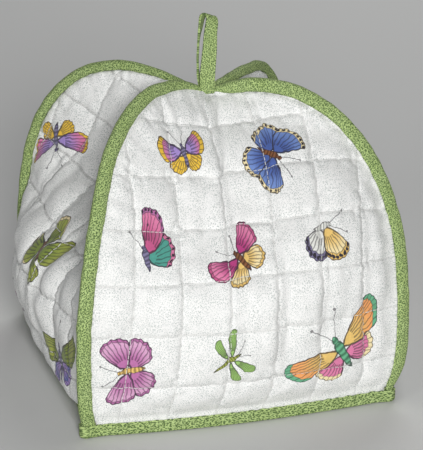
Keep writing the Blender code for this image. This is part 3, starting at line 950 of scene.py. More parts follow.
# %%
class Paint:
    """The nodes of one material."""

    def __init__(self, name, roughness):
        self.material = bpy.data.materials.new(name)
        self.material.use_nodes = True
        self.tree = self.material.node_tree
        self.shader = self.tree.nodes["Principled BSDF"]
        self.shader.inputs["Roughness"].default_value = roughness

    def feed(self, socket, value):
        if isinstance(value, Value):
            self.tree.links.new(value.socket, socket)
        else:
            socket.default_value = value

    def node(self, kind, settings=None, inputs=None, output=0):
        made = self.tree.nodes.new(kind)
        for name, value in (settings or {}).items():
            setattr(made, name, value)
        for name, value in (inputs or {}).items():
            self.feed(made.inputs[name], value)
        return Value(self, made.outputs[output])

    def math(self, operation, a, b=None, third=None):
        sockets = {i: v for i, v in enumerate((a, b, third)) if v is not None}
        return self.node("ShaderNodeMath", {"operation": operation}, sockets)

    def vector(self, x, y):
        return self.node("ShaderNodeCombineXYZ", None, {"X": x, "Y": y})

    def parts(self, vector, count=3):
        made = self.tree.nodes.new("ShaderNodeSeparateXYZ")
        self.feed(made.inputs[0], vector)
        return [Value(self, made.outputs[i]) for i in range(count)]

    def vector_math(self, operation, inputs, output=0):
        return self.node("ShaderNodeVectorMath", {"operation": operation}, inputs, output)

    def length(self, vector):
        return self.vector_math("LENGTH", {0: vector}, "Value")

    def cloth(self, name):
        """Flat place on the cloth, in millimetres, as a vector."""
        flat = self.node("ShaderNodeUVMap", {"uv_map": name})
        return self.vector_math("SCALE", {0: flat, "Scale": 1000.0})

    def noise(self, where, size, detail, output="Fac"):
        return self.node("ShaderNodeTexNoise", {"noise_dimensions": "2D"},
                         {"Vector": where, "Scale": 1.0 / size, "Detail": detail}, output)

    def colour(self, share, a, b):
        a, b = (v if isinstance(v, Value) else (*v, 1.0) for v in (a, b))
        return self.node("ShaderNodeMix", {"data_type": "RGBA"}, {0: share, 6: a, 7: b}, 2)

    def choose(self, share, a, b):
        return self.node("ShaderNodeMix", {"data_type": "VECTOR"}, {0: share, 4: a, 5: b}, 1)

    def shade(self, colour, share):
        """A colour made lighter or darker by a number."""
        grey = self.node("ShaderNodeCombineXYZ", None, {"X": share, "Y": share, "Z": share})
        return self.vector_math("MULTIPLY", {0: colour, 1: grey})

    def bump(self, height, distance, strength, under=None):
        inputs = {"Height": height, "Distance": distance, "Strength": strength}
        if under is not None:
            inputs["Normal"] = under
        return self.node("ShaderNodeBump", None, inputs)

    def finish(self, colour, normal):
        self.feed(self.shader.inputs["Base Color"], colour)
        self.feed(self.shader.inputs["Normal"], normal)
        return self.material


def plain(name, colour, roughness):
    """A material with one colour all over."""
    paint = Paint(name, roughness)
    paint.shader.inputs["Base Color"].default_value = (*colour, 1.0)
    return paint.material


# %% [markdown]
# ## Colours of the cloth and of its print
#
# Off-white cotton with a tiny all-over fleck, and butterflies in washes of
# colour inside thin ink lines.

# %%
COTTON = (0.84, 0.835, 0.82)
FLECK = (0.32, 0.37, 0.35)
INK = (0.035, 0.03, 0.04)
CREAM = (0.85, 0.72, 0.42)
YELLOW = (0.80, 0.52, 0.06)
OCHRE = (0.74, 0.50, 0.16)
PEACH = (0.83, 0.36, 0.13)
PINK = (0.67, 0.20, 0.36)
ROSE = (0.52, 0.10, 0.24)
MAGENTA = (0.44, 0.05, 0.20)
LILAC = (0.36, 0.25, 0.58)
MAUVE = (0.46, 0.16, 0.36)
BLUE = (0.07, 0.12, 0.36)
SKY = (0.16, 0.25, 0.54)
TEAL = (0.08, 0.32, 0.26)
LEAF = (0.30, 0.50, 0.14)
OLIVE = (0.20, 0.26, 0.05)
MOSS = (0.34, 0.38, 0.08)
BROWN = (0.22, 0.09, 0.04)
SLATE = (0.20, 0.18, 0.30)
PALE = (0.74, 0.74, 0.70)
BLUSH = (0.62, 0.34, 0.52)
JADE = (0.14, 0.42, 0.24)

# %% [markdown]
# ## Kinds of butterfly
#
# Each kind is a pair of fan-shaped wings on either side of a body. The fan's
# angles and lengths tell one kind from another, so a dozen numbers draw a kind
# and no outline has to be kept. Angles are from the head, in radians, and
# lengths are shares of half a wing span. A "one_side" of 1 folds both pairs of
# wings to the right of the body.

# %%
KIND_COLUMNS = (
    "fore_angle", "fore_lead", "fore_trail", "fore_length", "hind_angle", "hind_spread",
    "hind_length", "margin", "one_side", "body", "scallop", "spots", "ink",
)
KINDS = {
    "meadow": (1.20, 0.34, 0.66, 1.00, 2.42, 0.62, 0.68, 0.20, 0.0, 1.0, 0.010, 0.0, 1.0),
    "admiral": (1.16, 0.40, 0.62, 1.00, 2.28, 0.68, 0.84, 0.13, 0.0, 1.0, 0.014, 1.0, 1.0),
    "resting": (0.52, 0.36, 0.56, 1.15, 1.46, 0.70, 0.88, 0.13, 1.0, 0.8, 0.022, 1.0, 1.0),
    "petal": (1.20, 0.36, 0.52, 0.98, 2.28, 0.62, 0.72, 0.10, 0.0, 1.0, 0.012, 0.0, 1.0),
    "checked": (1.24, 0.56, 0.52, 1.00, 2.20, 0.60, 0.86, 0.20, 1.0, 0.7, 0.018, 1.0, 1.0),
    "dusk": (1.16, 0.40, 0.58, 1.00, 2.24, 0.62, 0.80, 0.09, 0.0, 1.0, 0.018, 0.4, 1.0),
    "reed": (1.06, 0.20, 0.22, 1.02, 1.70, 0.22, 0.88, 0.04, 0.0, 1.7, 0.0, 0.0, 0.5),
    "moth": (1.36, 0.24, 0.40, 1.08, 2.06, 0.50, 0.62, 0.12, 0.0, 0.9, 0.012, 0.0, 1.0),
    "leafwing": (0.80, 0.56, 0.62, 0.90, 2.36, 0.64, 0.86, 0.10, 0.0, 0.7, 0.014, 0.0, 1.0),
}
COLOUR_COLUMNS = ("fore_in", "fore_out", "fore_edge", "hind_in", "hind_out", "hind_edge", "body")
COLOURS = {
    "sunrise": (LILAC, PINK, YELLOW, YELLOW, YELLOW, YELLOW, SLATE),
    "evening": (BLUE, SKY, CREAM, BLUE, SKY, CREAM, BROWN),
    "orchid": (ROSE, PINK, MAUVE, TEAL, TEAL, PINK, SLATE),
    "berry": (MAGENTA, PINK, ROSE, OCHRE, CREAM, OCHRE, BROWN),
    "paper": (OCHRE, CREAM, OCHRE, PALE, PALE, SLATE, PALE),
    "heather": (MAUVE, BLUSH, MAUVE, MAUVE, BLUSH, MAUVE, OCHRE),
    "grass": (LEAF, LEAF, LEAF, LEAF, LEAF, LEAF, MOSS),
    "garden": (OCHRE, PEACH, JADE, PINK, PINK, CREAM, JADE),
    "ivy": (OLIVE, MOSS, CREAM, OLIVE, MOSS, MOSS, BROWN),
    "thistle": (OLIVE, MOSS, OLIVE, LILAC, BLUE, LILAC, SLATE),
}
print("kinds:", ", ".join(KINDS))

# %% [markdown]
# ## Where the butterflies lie
#
# Each row prints one butterfly on the flat cotton, before the panel is quilted:
# its place and size in millimetres, and its turn in degrees. A printed cloth
# repeats one drawing from edge to edge. A short list for each panel is enough
# here, and lets every butterfly be moved on its own.

# %%
PRINT_COLUMNS = ("s", "t", "turn", "size", "kind", "colours")
PRINTED = {
    "front": (
        (-43, 208, 10, 22, "meadow", "sunrise"),
        (31, 201, -130, 27, "admiral", "evening"),
        (-87, 135, 16, 28, "resting", "orchid"),
        (-9, 128, 42, 26, "petal", "berry"),
        (59, 145, -84, 26, "checked", "paper"),
        (-94, 54, 104, 27, "dusk", "heather"),
        (-20, 59, -58, 20, "reed", "grass"),
        (74, 52, 32, 42, "moth", "garden"),
    ),
    "left": (
        (-96, 160, 214, 30, "moth", "sunrise"),
        (-4, 101, 62, 28, "leafwing", "ivy"),
        (66, 43, 14, 34, "moth", "thistle"),
        (36, 208, 160, 25, "petal", "berry"),
        (-72, 50, -40, 27, "dusk", "heather"),
        (60, 150, 100, 20, "reed", "grass"),
    ),
    "right": (
        (-70, 176, 24, 25, "petal", "berry"),
        (28, 208, -32, 27, "admiral", "evening"),
        (-74, 66, -28, 45, "moth", "garden"),
        (-4, 130, 12, 29, "dusk", "ivy"),
        (78, 136, -58, 22, "meadow", "sunrise"),
        (50, 52, 40, 27, "dusk", "heather"),
    ),
    "back": (
        (-44, 206, 34, 27, "admiral", "evening"),
        (48, 190, -20, 22, "meadow", "sunrise"),
        (-82, 122, -28, 25, "petal", "berry"),
        (4, 132, 64, 21, "reed", "grass"),
        (76, 112, 16, 28, "resting", "orchid"),
        (-52, 48, 14, 30, "dusk", "ivy"),
        (52, 50, -30, 45, "moth", "garden"),
    ),
}
print("butterflies printed:", {side: len(rows) for side, rows in PRINTED.items()})

# %% [markdown]
# ## A wing is a fan
#
# A wing's veins spread from its root like the ribs of a fan, and the band at
# the end of the ribs is its margin. An outline of points would have to be
# drawn again for every kind. A fan needs an angle, a spread and a length, and
# how deep a point lies inside it gives the fill, the outline and the margin.

# %%
WING_CLOSES = 1.1
RIM_SLANT = 0.10
RIM_ROUND = 0.16
SCALLOPS = 16.0
SIDE_DEPTH = 0.95
CORNER_BLEND = 0.10


def wing(paint, x, y, root, angle, lead, trail, length, scallop):
    """Place in a fan-shaped wing: depth inside its edge, to its rim, along, across and arc."""
    dx = x - root[0]
    dy = y - root[1]
    reach = paint.length(paint.vector(dx, dy))
    turn = paint.math("ARCTAN2", dx, dy) - angle
    spread = lead + (trail - lead) * (turn > 0.0)
    close = 1.0 - (reach / length).least(1.0)
    across = turn / (spread * (1.0 + WING_CLOSES * close * close))
    rim = length * (1.0 - RIM_SLANT * across - RIM_ROUND * across * across)
    rim = rim + scallop * (across * SCALLOPS).wave()
    to_rim = rim - reach
    to_side = reach * spread * (1.0 - abs(across)) * SIDE_DEPTH
    depth = to_side.blend_least(to_rim, CORNER_BLEND)
    return depth, to_rim, reach / rim, across, reach * spread


# %% [markdown]
# ## Washes, margins, spots and veins
#
# A drawn wing is washed from the root out, banded at the rim and lined along
# its veins. Each layer is laid over the one before through a mask. Line widths
# are millimetres of cloth, so a small butterfly's lines are as strong as a
# large one's.

# %%
INK_WIDTH = 0.75
VEIN_WIDTH = 0.36
WASH_FROM, WASH_TO = 0.35, 0.85
WASH_TONE, WASH_STREAK = 0.86, 0.30
BAND_TONE, BAND_STREAK = 0.75, 0.4
BAND_FROM = 0.5
SPOTS_ACROSS = 4.0
SPOT_RADIUS = 0.27
VEINS_ACROSS = 3.5
VEINS_FROM = 0.30
VEIN_INK = 0.62
OUTLINE_INK = 0.85


def paint_wing(paint, under, fan, pen, colours, marks):
    """One wing, laid over what is under it."""
    depth, to_rim, along, across, arc = fan
    size, outline, line = pen
    inner, outer, edge = colours
    margin, spots, streak = marks
    wash = paint.colour(along.rise(WASH_FROM, WASH_TO), inner, outer)
    wash = paint.shade(wash, WASH_TONE + WASH_STREAK * streak)
    band = (to_rim < margin) * (along > BAND_FROM)
    wash = paint.colour(band, wash, paint.shade(edge, BAND_TONE + BAND_STREAK * streak))
    cell = (across * SPOTS_ACROSS).fraction() - 0.5
    from_spot = paint.length(paint.vector(cell * arc / SPOTS_ACROSS, to_rim - margin * 0.5))
    spot = from_spot < margin * SPOT_RADIUS
    wash = paint.colour(spot * spots * band, wash, INK)
    vein_gap = abs((across * VEINS_ACROSS).fraction() - 0.5) * arc / VEINS_ACROSS * size
    vein = (vein_gap < line) * (along > VEINS_FROM)
    inner_line = abs(to_rim - margin) * size < line
    wash = paint.colour(vein.most(inner_line) * VEIN_INK, wash, INK)
    wash = paint.colour((depth * size < outline) * OUTLINE_INK, wash, INK)
    return paint.colour(depth > 0.0, under, wash)


# %% [markdown]
# ## The nearest butterfly
#
# Only one butterfly is near any point of the cloth. Drawing all of them at every
# point would repeat the same hundred nodes for each. So each point first takes
# the place, kind and colours of the one that is near, and the wings are then
# drawn once. A slight wobble of the place keeps every line hand-drawn.

# %%
NEAR = 1.5
FAR_AWAY = (9.0, 9.0, 0.0)
WOBBLE_SIZE = 5.0
WOBBLE = 1.6
# A kind's numbers and its size travel through the mixes three at a time
SHAPE_VECTORS = 5


def wobbly(paint, flat):
    """The place on the cloth, moved by up to about a millimetre."""
    wobble = paint.noise(flat, WOBBLE_SIZE, 1.0, "Color")
    wobble = paint.vector_math("SUBTRACT", {0: wobble, 1: (0.5, 0.5, 0.5)})
    wobble = paint.vector_math("SCALE", {0: wobble, "Scale": WOBBLE})
    return paint.vector_math("ADD", {0: flat, 1: wobble})


def nearest_butterfly(paint, drawn, rows):
    """Local place, kind and colours of the butterfly that is near each point."""
    local = FAR_AWAY
    shapes = [(1.0, 1.0, 1.0)] * SHAPE_VECTORS
    colours = [COTTON] * len(COLOUR_COLUMNS)
    for row in rows:
        row = dict(zip(PRINT_COLUMNS, row))
        here = paint.node(
            "ShaderNodeMapping", {"vector_type": "TEXTURE"},
            {"Vector": drawn, "Location": (row["s"] + UV_SHIFT, row["t"], 0.0),
             "Rotation": (0.0, 0.0, np.radians(row["turn"])),
             "Scale": (row["size"], row["size"], 1.0)},
        )
        near = paint.length(here) < NEAR
        local = paint.choose(near, local, here)
        values = (*KINDS[row["kind"]], row["size"], 0.0)
        shapes = [paint.choose(near, shape, values[3 * k:3 * k + 3])
                  for k, shape in enumerate(shapes)]
        colours = [paint.colour(near, old, new)
                   for old, new in zip(colours, COLOURS[row["colours"]])]
    numbers = [part for shape in shapes for part in paint.parts(shape)]
    kind = dict(zip((*KIND_COLUMNS, "size"), numbers))
    return local, kind, dict(zip(COLOUR_COLUMNS, colours))


# %% [markdown]
# ## Body, feelers and the whole butterfly
#
# A body is three overlapping ovals: a ringed trunk, a chest and a head. The
# nearest of the three ovals decides, which joins them without a seam. Feelers
# are two thin lines that end in dots. The hind wings go on first, because the
# fore wings lie over them.

# %%
TRUNK_HALF_WIDTH, TRUNK_HALF_LENGTH, TRUNK_BACK = 0.075, 0.34, 0.08
CHEST_HALF_WIDTH, CHEST_HALF_LENGTH, CHEST_AT = 0.10, 0.16, 0.10
HEAD_RADIUS, HEAD_AT = 0.065, 0.29
RINGS, RING_TONE, RING_DEPTH = 60.0, 0.75, 0.35
BODY_LINE_FROM, BODY_LINE_TO = 0.78, 1.05
BODY_INK = 0.7
FEELER_FROM, FEELER_TO = 0.30, 0.78
FEELER_ROOT, FEELER_SLOPE, FEELER_HALF_WIDTH = 0.03, 0.55, 0.32
TIP_AT, TIP_RADIUS = 0.29, 0.03
FEELER_INK = 0.75
HIND_ROOT = (0.04, -0.02)
FORE_ROOT = (0.04, 0.10)
FORE_SCALLOP = 0.5
STREAK_SIZE = 1.6


def oval(paint, x, y, half_width, half_length):
    """1 on an oval round the origin, and less inside."""
    return paint.length(paint.vector(x / half_width, y / half_length))


def paint_body(paint, picture, x, y, length, colour):
    trunk = oval(paint, x, y + TRUNK_BACK * length, TRUNK_HALF_WIDTH, TRUNK_HALF_LENGTH * length)
    chest = oval(paint, x, y - CHEST_AT, CHEST_HALF_WIDTH, CHEST_HALF_LENGTH)
    head = oval(paint, x, y - HEAD_AT, HEAD_RADIUS, HEAD_RADIUS)
    inside = trunk.least(chest).least(head)
    rings = RING_TONE + RING_DEPTH * (y * RINGS).wave()
    picture = paint.colour(inside < 1.0, picture, paint.shade(colour, rings))
    line = (inside > BODY_LINE_FROM) * (inside < BODY_LINE_TO)
    return paint.colour(line * BODY_INK, picture, INK)


def paint_feelers(paint, picture, x, y, size):
    gap = abs(abs(x) - FEELER_ROOT - FEELER_SLOPE * (y - FEELER_FROM)) * size
    feeler = (gap < FEELER_HALF_WIDTH) * (y > FEELER_FROM) * (y < FEELER_TO)
    tip = paint.length(paint.vector(abs(x) - TIP_AT, y - FEELER_TO)) < TIP_RADIUS
    return paint.colour(feeler.most(tip) * FEELER_INK, picture, INK)


def paint_butterflies(paint, flat, ground, rows):
    """The ground cloth with every butterfly of one panel on it."""
    local, kind, colours = nearest_butterfly(paint, wobbly(paint, flat), rows)
    x, y = paint.parts(local, 2)
    side = abs(x) * (1.0 - kind["one_side"]) + x * kind["one_side"]
    pen = (kind["size"], kind["ink"] * INK_WIDTH, kind["ink"] * VEIN_WIDTH)
    marks = (kind["margin"], kind["spots"], paint.noise(flat, STREAK_SIZE, 2.0))
    hind = wing(paint, side, y, HIND_ROOT, kind["hind_angle"], kind["hind_spread"],
                kind["hind_spread"], kind["hind_length"], kind["scallop"])
    fore = wing(paint, side, y, FORE_ROOT, kind["fore_angle"], kind["fore_lead"],
                kind["fore_trail"], kind["fore_length"], kind["scallop"] * FORE_SCALLOP)
    picture = ground
    for name, fan in (("hind", hind), ("fore", fore)):
        washes = [colours[name + part] for part in ("_in", "_out", "_edge")]
        picture = paint_wing(paint, picture, fan, pen, washes, marks)
    picture = paint_body(paint, picture, x, y, kind["body"], colours["body"])
    return paint_feelers(paint, picture, x, y, kind["size"])


# %% [markdown]
# ## Thread and its groove
#
# White thread crosses everything along the quilting, in stitches a little under
# three millimetres long that sink into the cloth. Thousands of modelled stitches
# would cost far more than they show, so they are drawn. The groove beside them
# gets painted shade, a little darker, as a narrow hollow is in shadow.

# %%
STITCH = 3.6
STITCH_FILLED = 0.78
THREAD_HALF = 0.30
THREAD_SOFT = 0.4
GROOVE_HALF = 1.3
# Painted shade: how much each panel's colour is darkened along its stitched grooves
GROOVE_SHADE = {"front": 0.14, "right": 0.26, "back": 0.20, "left": 0.40}


def stitches(paint, quilting):
    """White thread along both directions of quilting, and the painted shade of the groove it lies in, 0
    to 1.
    """
    q, t = paint.parts(quilting, 2)
    q = q - UV_SHIFT
    threads = []
    painted_groove_shades = []
    for across, along, first in ((q, t, FIRST_COLUMN), (t, q, FIRST_ROW)):
        phase = ((across - first) / PITCH).fraction()
        gap = phase.least(1.0 - phase) * PITCH
        dash = abs((along / STITCH).fraction() - 0.5) < STITCH_FILLED / 2.0
        edge = (THREAD_HALF * (1.0 - THREAD_SOFT), THREAD_HALF * (1.0 + THREAD_SOFT))
        threads.append((1.0 - gap.rise(*edge)) * dash)
        painted_groove_shades.append(1.0 - gap.rise(0.0, GROOVE_HALF))
    return threads[0].most(threads[1]), painted_groove_shades[0].most(painted_groove_shades[1])


print(f"stitches {STITCH * STITCH_FILLED:.1f} mm long, one every {STITCH:.1f} mm")

# %% [markdown]
# ## Fleck and weave
#
# Cotton and tape both have a fine fleck of short curly lines and dots. Drawing
# them one by one would take thousands. The middle contour of a soft noise is
# a curly line already, and each cell of a Voronoi texture holds one dot. The
# weave is finer still and only catches the light, so a bump is enough for it.

# %%
COTTON_FLECK = {"curl": 2.1, "line": (0.010, 0.040), "cell": 1.45, "dot": (0.16, 0.30)}
TAPE_FLECK = {"curl": 1.5, "line": (0.014, 0.06), "cell": 1.2, "dot": (0.28, 0.38)}
WEAVE_PITCH = 0.42
WEAVE_BUMP = (0.00003, 0.35)
THREAD_BUMP = (0.00025, 0.9)


def flecks(paint, flat, kind):
    """Curly lines and dots, each 0 to 1."""
    curl = abs(paint.noise(flat, kind["curl"], 2.0) - 0.5)
    dots = paint.node("ShaderNodeTexVoronoi", {"voronoi_dimensions": "2D"},
                      {"Vector": flat, "Scale": 1.0 / kind["cell"]}, "Distance")
    return 1.0 - curl.rise(*kind["line"]), 1.0 - dots.rise(*kind["dot"])


def weave(paint, flat):
    """Threads over and under each other, -1 to 1."""
    x, y = paint.parts(flat, 2)
    turns = 2.0 * np.pi / WEAVE_PITCH
    return (x * turns).wave() * (y * turns).wave()


print(f"weave: {10.0 / WEAVE_PITCH:.0f} threads a centimetre")

# %% [markdown]
# ## The quilted print
#
# The layers go on in the order of the real cloth: fleck, butterflies, and then
# the thread that is sewn through both. The fleck comes and goes a little, and
# the ground fades softly, because an even print looks like paper.

# %%
PATCH_SIZE, PATCH_FROM, PATCH_TO = 9.0, 0.25, 0.65
CURL_INK = 0.6
FLECK_INK = 0.8
FADE_SIZE = 34.0
FADE_TONE, FADE_DEPTH = 0.95, 0.10
THREAD_COLOUR = (0.80, 0.80, 0.77)
THREAD_COVER = 0.75


def flecked_cotton(paint, flat):
    fade = paint.noise(flat, FADE_SIZE, 2.0)
    curl, dots = flecks(paint, flat, COTTON_FLECK)
    patch = paint.noise(flat, PATCH_SIZE, 1.0).rise(PATCH_FROM, PATCH_TO)
    fleck = (curl * CURL_INK).most(dots) * (0.5 + 0.5 * patch)
    return paint.shade(paint.colour(fleck * FLECK_INK, COTTON, FLECK),
                       FADE_TONE + FADE_DEPTH * fade)


def print_material(side):
    paint = Paint("quilted print " + side, 0.92)
    flat = paint.cloth("cut")
    picture = paint_butterflies(paint, flat, flecked_cotton(paint, flat), PRINTED[side])
    thread, groove = stitches(paint, paint.cloth("quilting"))
    # Painted shade in the stitched grooves darkens the colour
    picture = paint.shade(picture, 1.0 - GROOVE_SHADE[side] * groove)
    picture = paint.colour(thread * THREAD_COVER, picture, THREAD_COLOUR)
    normal = paint.bump(weave(paint, flat), *WEAVE_BUMP)
    normal = paint.bump(thread, *THREAD_BUMP, under=normal)
    paint.shader.inputs["Sheen Weight"].default_value = 0.15
    paint.shader.inputs["Specular IOR Level"].default_value = 0.25
    return paint.finish(picture, normal)


PRINTS = {side: print_material(side) for side in SIDES}
print("nodes in each print:", {side: len(made.node_tree.nodes) for side, made in PRINTS.items()})

# %% [markdown]
# ## Inner cotton and green tape
#
# The inner face is plain cotton with the back of the stitches. The tape is
# yellow-green with a dense dark fleck. Both are simple enough for one short
# function each, built from the same helpers as the print.

# %%
INNER_COTTON = (0.76, 0.75, 0.69)
INNER_FADE_SIZE = 20.0
INNER_THREAD = (0.86, 0.86, 0.83)
INNER_THREAD_COVER = 0.8
TAPE_GREEN = (0.38, 0.50, 0.17)
TAPE_PALE_GREEN = (0.46, 0.58, 0.25)
TAPE_DARK = (0.045, 0.09, 0.02)
TAPE_TONE_SIZE = 14.0
TAPE_CURL_INK = 0.8
TAPE_DOT_INK = 0.95


def inner_material():
    paint = Paint("inner cotton", 0.95)
    quilting = paint.cloth("quilting")
    thread, _ = stitches(paint, quilting)
    fade = paint.noise(quilting, INNER_FADE_SIZE, 2.0)
    ground = paint.shade(INNER_COTTON, FADE_TONE + FADE_DEPTH * fade)
    picture = paint.colour(thread * INNER_THREAD_COVER, ground, INNER_THREAD)
    return paint.finish(picture, paint.bump(thread, *THREAD_BUMP))


def tape_material():
    paint = Paint("green tape cloth", 0.9)
    flat = paint.cloth("cut")
    curl, dots = flecks(paint, flat, TAPE_FLECK)
    green = paint.colour(paint.noise(flat, TAPE_TONE_SIZE, 2.0), TAPE_GREEN, TAPE_PALE_GREEN)
    fleck = (curl * TAPE_CURL_INK).most(dots * TAPE_DOT_INK)
    green = paint.colour(fleck, green, TAPE_DARK)
    return paint.finish(green, paint.bump(weave(paint, flat), *WEAVE_BUMP))


INNER = inner_material()
GREEN = tape_material()
print("made", INNER.name, "and", GREEN.name)

# %% [markdown]
# ## From the flat to the model
#
# Everything above is in millimetres from the middle of the hem. A piece becomes
# part of the model when its vertices are moved to the model's own origin and
# turned into metres. Numpy reads and writes them all at once, which is far
# quicker than a loop over vertices. Its UV map keeps the flat place, so that
# print and fleck follow the cloth.

# %%
def read_vectors(mesh, name):
    """Every vertex's place or normal, as rows of three."""
    values = np.empty(len(mesh.vertices) * 3)
    mesh.vertices.foreach_get(name, values)
    return values.reshape(-1, 3)


def put_vertices(mesh, where):
    mesh.vertices.foreach_set("co", ((where - PLAN_CENTRE) * MM).ravel())
    mesh.update()


def add_uv(mesh, name, u, v):
    layer = mesh.uv_layers.new(name=name)
    corners = np.empty(len(mesh.loops), dtype=np.int64)
    mesh.loops.foreach_get("vertex_index", corners)
    layer.data.foreach_set("uv", np.column_stack([u[corners], v[corners]]).ravel())


def link(name, data):
    thing = bpy.data.objects.new(name, data)
    bpy.context.scene.collection.objects.link(thing)
    return thing


# %% [markdown]
# ## The four quilted panels
#
# Every panel starts as a copy of the same flat quilt and is hung row by row. The
# puckers then push it along its own normals. Its thickness comes last, from a
# Solidify modifier that reads the wadding's loft from a vertex group. Two
# modelled layers would need the same puffs twice.

# %%
PANEL_SEEDS = {"front": 11, "right": 23, "back": 37, "left": 53}
LOFT_STEPS = 250.0
MIDDLE_HEIGHT = 60.0
HEM_FREES_BY = 12.0
PUCKER_HEIGHT, PUCKERS_FREE_BY = 0.62, 8.0
RIPPLE_HEIGHT, RIPPLES_FREE_BY, RIPPLE_LENGTHS = 0.75, 14.0, (20.0, 60.0)
GATHER_HEIGHT = 0.75


def surface_relief(seed, s, t, q, share, gap):
    """Puckers, ripples and gathers, in millimetres; the hem and the seams hold them down."""
    free = ease((t - HEM_STAND) / HEM_FREES_BY)
    push = PUCKER_HEIGHT * puckers(seed, q, t) * free * ease(gap / PUCKERS_FREE_BY)
    ripples = waves(seed + 1, s, t, *RIPPLE_LENGTHS)
    push += RIPPLE_HEIGHT * ripples * free * ease(gap / RIPPLES_FREE_BY)
    push += GATHER_HEIGHT * edge_gathers(seed + 2, np.copysign(share, s), gap) * free
    return push


def add_wadding(panel, thickness):
    """Solidify, thinner where the vertex group is weaker; its inner face is plain cotton."""
    loft = panel.vertex_groups.new(name="loft")
    levels = np.round(np.clip(thickness / PUFF_THICKNESS, 0.0, 1.0) * LOFT_STEPS).astype(int)
    for level in np.unique(levels):
        loft.add(np.nonzero(levels == level)[0].tolist(), level / LOFT_STEPS, "REPLACE")
    solidify = panel.modifiers.new("wadding", "SOLIDIFY")
    solidify.thickness = PUFF_THICKNESS * MM
    solidify.offset = 0.0
    solidify.vertex_group = "loft"
    solidify.material_offset = 1
    solidify.material_offset_rim = 1


def hang_panel(side, seed):
    cut = "clipped" if side in ("left", "right") else "whole"
    flat, rims = FLAT[cut]
    mesh = flat.copy()
    mesh.name = "quilted_panel_" + side
    s, t, _ = read_vectors(mesh, "co").T.copy()
    q = column_of(cut, s, t)
    share, gap, _ = PATTERN.nearest(s, t)
    drape = Drape(side)
    where = drape.body(s, t) + drape.overhang(s, t)
    where[rims] = drape.edge(s[rims], share[rims])
    mesh.vertices.foreach_set("co", where.ravel())
    mesh.update()
    normal = read_vectors(mesh, "normal")
    outward = where - np.array([0.0, 0.0, MIDDLE_HEIGHT])
    if (normal * outward).sum() < 0.0:
        mesh.flip_normals()
        normal = -normal
    push = surface_relief(seed, s, t, q, share, gap)
    push[rims] = 0.0
    put_vertices(mesh, where + normal * push[:, None])
    add_uv(mesh, "cut", (s + UV_SHIFT) * MM, t * MM)
    add_uv(mesh, "quilting", (q + UV_SHIFT) * MM, t * MM)
    mesh.shade_smooth()
    mesh.update()
    panel = link("quilted_panel_" + side, mesh)
    mesh.materials.append(PRINTS[side])
    mesh.materials.append(INNER)
    add_wadding(panel, quilt_thickness(q, t, gap))
    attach(panel, "root")
    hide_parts("panel_" + side)
    print(f"{panel.name}: {len(mesh.polygons)} faces before thickness")
    return panel


PANELS = {side: hang_panel(side, seed) for side, seed in PANEL_SEEDS.items()}

# %% [markdown]
# ## A strip folded in half
#
# Binding tape is a long strip, folded over a raw edge and stitched near its own
# two edges. A curve with a bevel would give it one fixed section. A grid that is
# bent into a U can change its section from place to place, and keeps the width
# that the strip was cut to.

# %%
TAPE_STEP = 1.7
TAPE_ACROSS = 26
SHORTEST_WALL = 0.3
STITCHED_FROM = 0.35
# The fleck is drawn twice as long as it is wide, along the tape
FLECK_STRETCH = 2.0


def grid_mesh(name, along, across):
    """A flat grid, with the row of each vertex and its place in the row."""
    bm = bmesh.new()
    bmesh.ops.create_grid(bm, x_segments=along - 1, y_segments=across - 1, size=0.5)
    mesh = bpy.data.meshes.new(name)
    bm.to_mesh(mesh)
    bm.free()
    co = read_vectors(mesh, "co")
    i = np.round((co[:, 0] + 0.5) * (along - 1)).astype(int)
    j = np.round((co[:, 1] + 0.5) * (across - 1)).astype(int)
    return mesh, i, j


def fold_in_half(u, half, wall, rounding):
    """Section of the folded strip, where u runs from -1 to 1 and the fold is at 0."""
    arc = 0.5 * np.pi * rounding
    flat = half - rounding
    total = flat + arc + np.maximum(wall - rounding, SHORTEST_WALL)
    along = np.abs(u) * total
    turn = np.clip((along - flat) / rounding, 0.0, 0.5 * np.pi)
    side = np.where(along < flat, along, flat + rounding * np.sin(turn))
    past_turn = along - flat - arc
    inward = STRIP_THICKNESS / 2.0 + rounding * (1.0 - np.cos(turn))
    inward = inward + np.clip(past_turn, 0.0, None)
    down_wall = np.clip(past_turn / (total - flat - arc), 0.0, 1.0)
    return side, inward, down_wall, total


def near_stitching(u):
    """0 over the fold, 1 at the strip's stitched edges."""
    return ease((np.abs(u) - STITCHED_FROM) / (1.0 - STITCHED_FROM))


def sew_on(name, mesh, node, thickness):
    """A shaped strip as a finished piece of green tape, in place of one solid."""
    mesh.shade_smooth()
    mesh.update()
    strip = link(name, mesh)
    mesh.materials.append(GREEN)
    solidify = strip.modifiers.new("cloth", "SOLIDIFY")
    solidify.thickness = thickness * MM
    solidify.offset = 0.0
    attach(strip, "root")
    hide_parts(node)
    return strip


# %% [markdown]
# ## Tape over a standing seam
#
# The tape runs from one foot of a seam over the junction to the other foot. Its
# walls bulge a little where the seam inside is thick, its lips press back in at
# the stitching, and small ripples run along the stitched edges only, because the
# fold itself is pulled tight.

# %%
ARCH_TAPE_SEEDS = {"front": 71, "back": 83}
TAPE_FOOT = 5.0
LIP_BACK = 2.0
TAPE_ROLL = 0.9
LIP_PRESS = 0.25
ARCH_FOLD_RADIUS = 2.1
ARCH_SAMPLES = 2000
SIDE_RIPPLE, SIDE_RIPPLE_LENGTHS = 0.16, (5.0, 14.0)
LIP_RIPPLE, LIP_RIPPLE_LENGTHS = 0.14, (8.0, 24.0)
LONG_RIPPLE, LONG_RIPPLE_LENGTHS = 0.25, (18.0, 60.0)


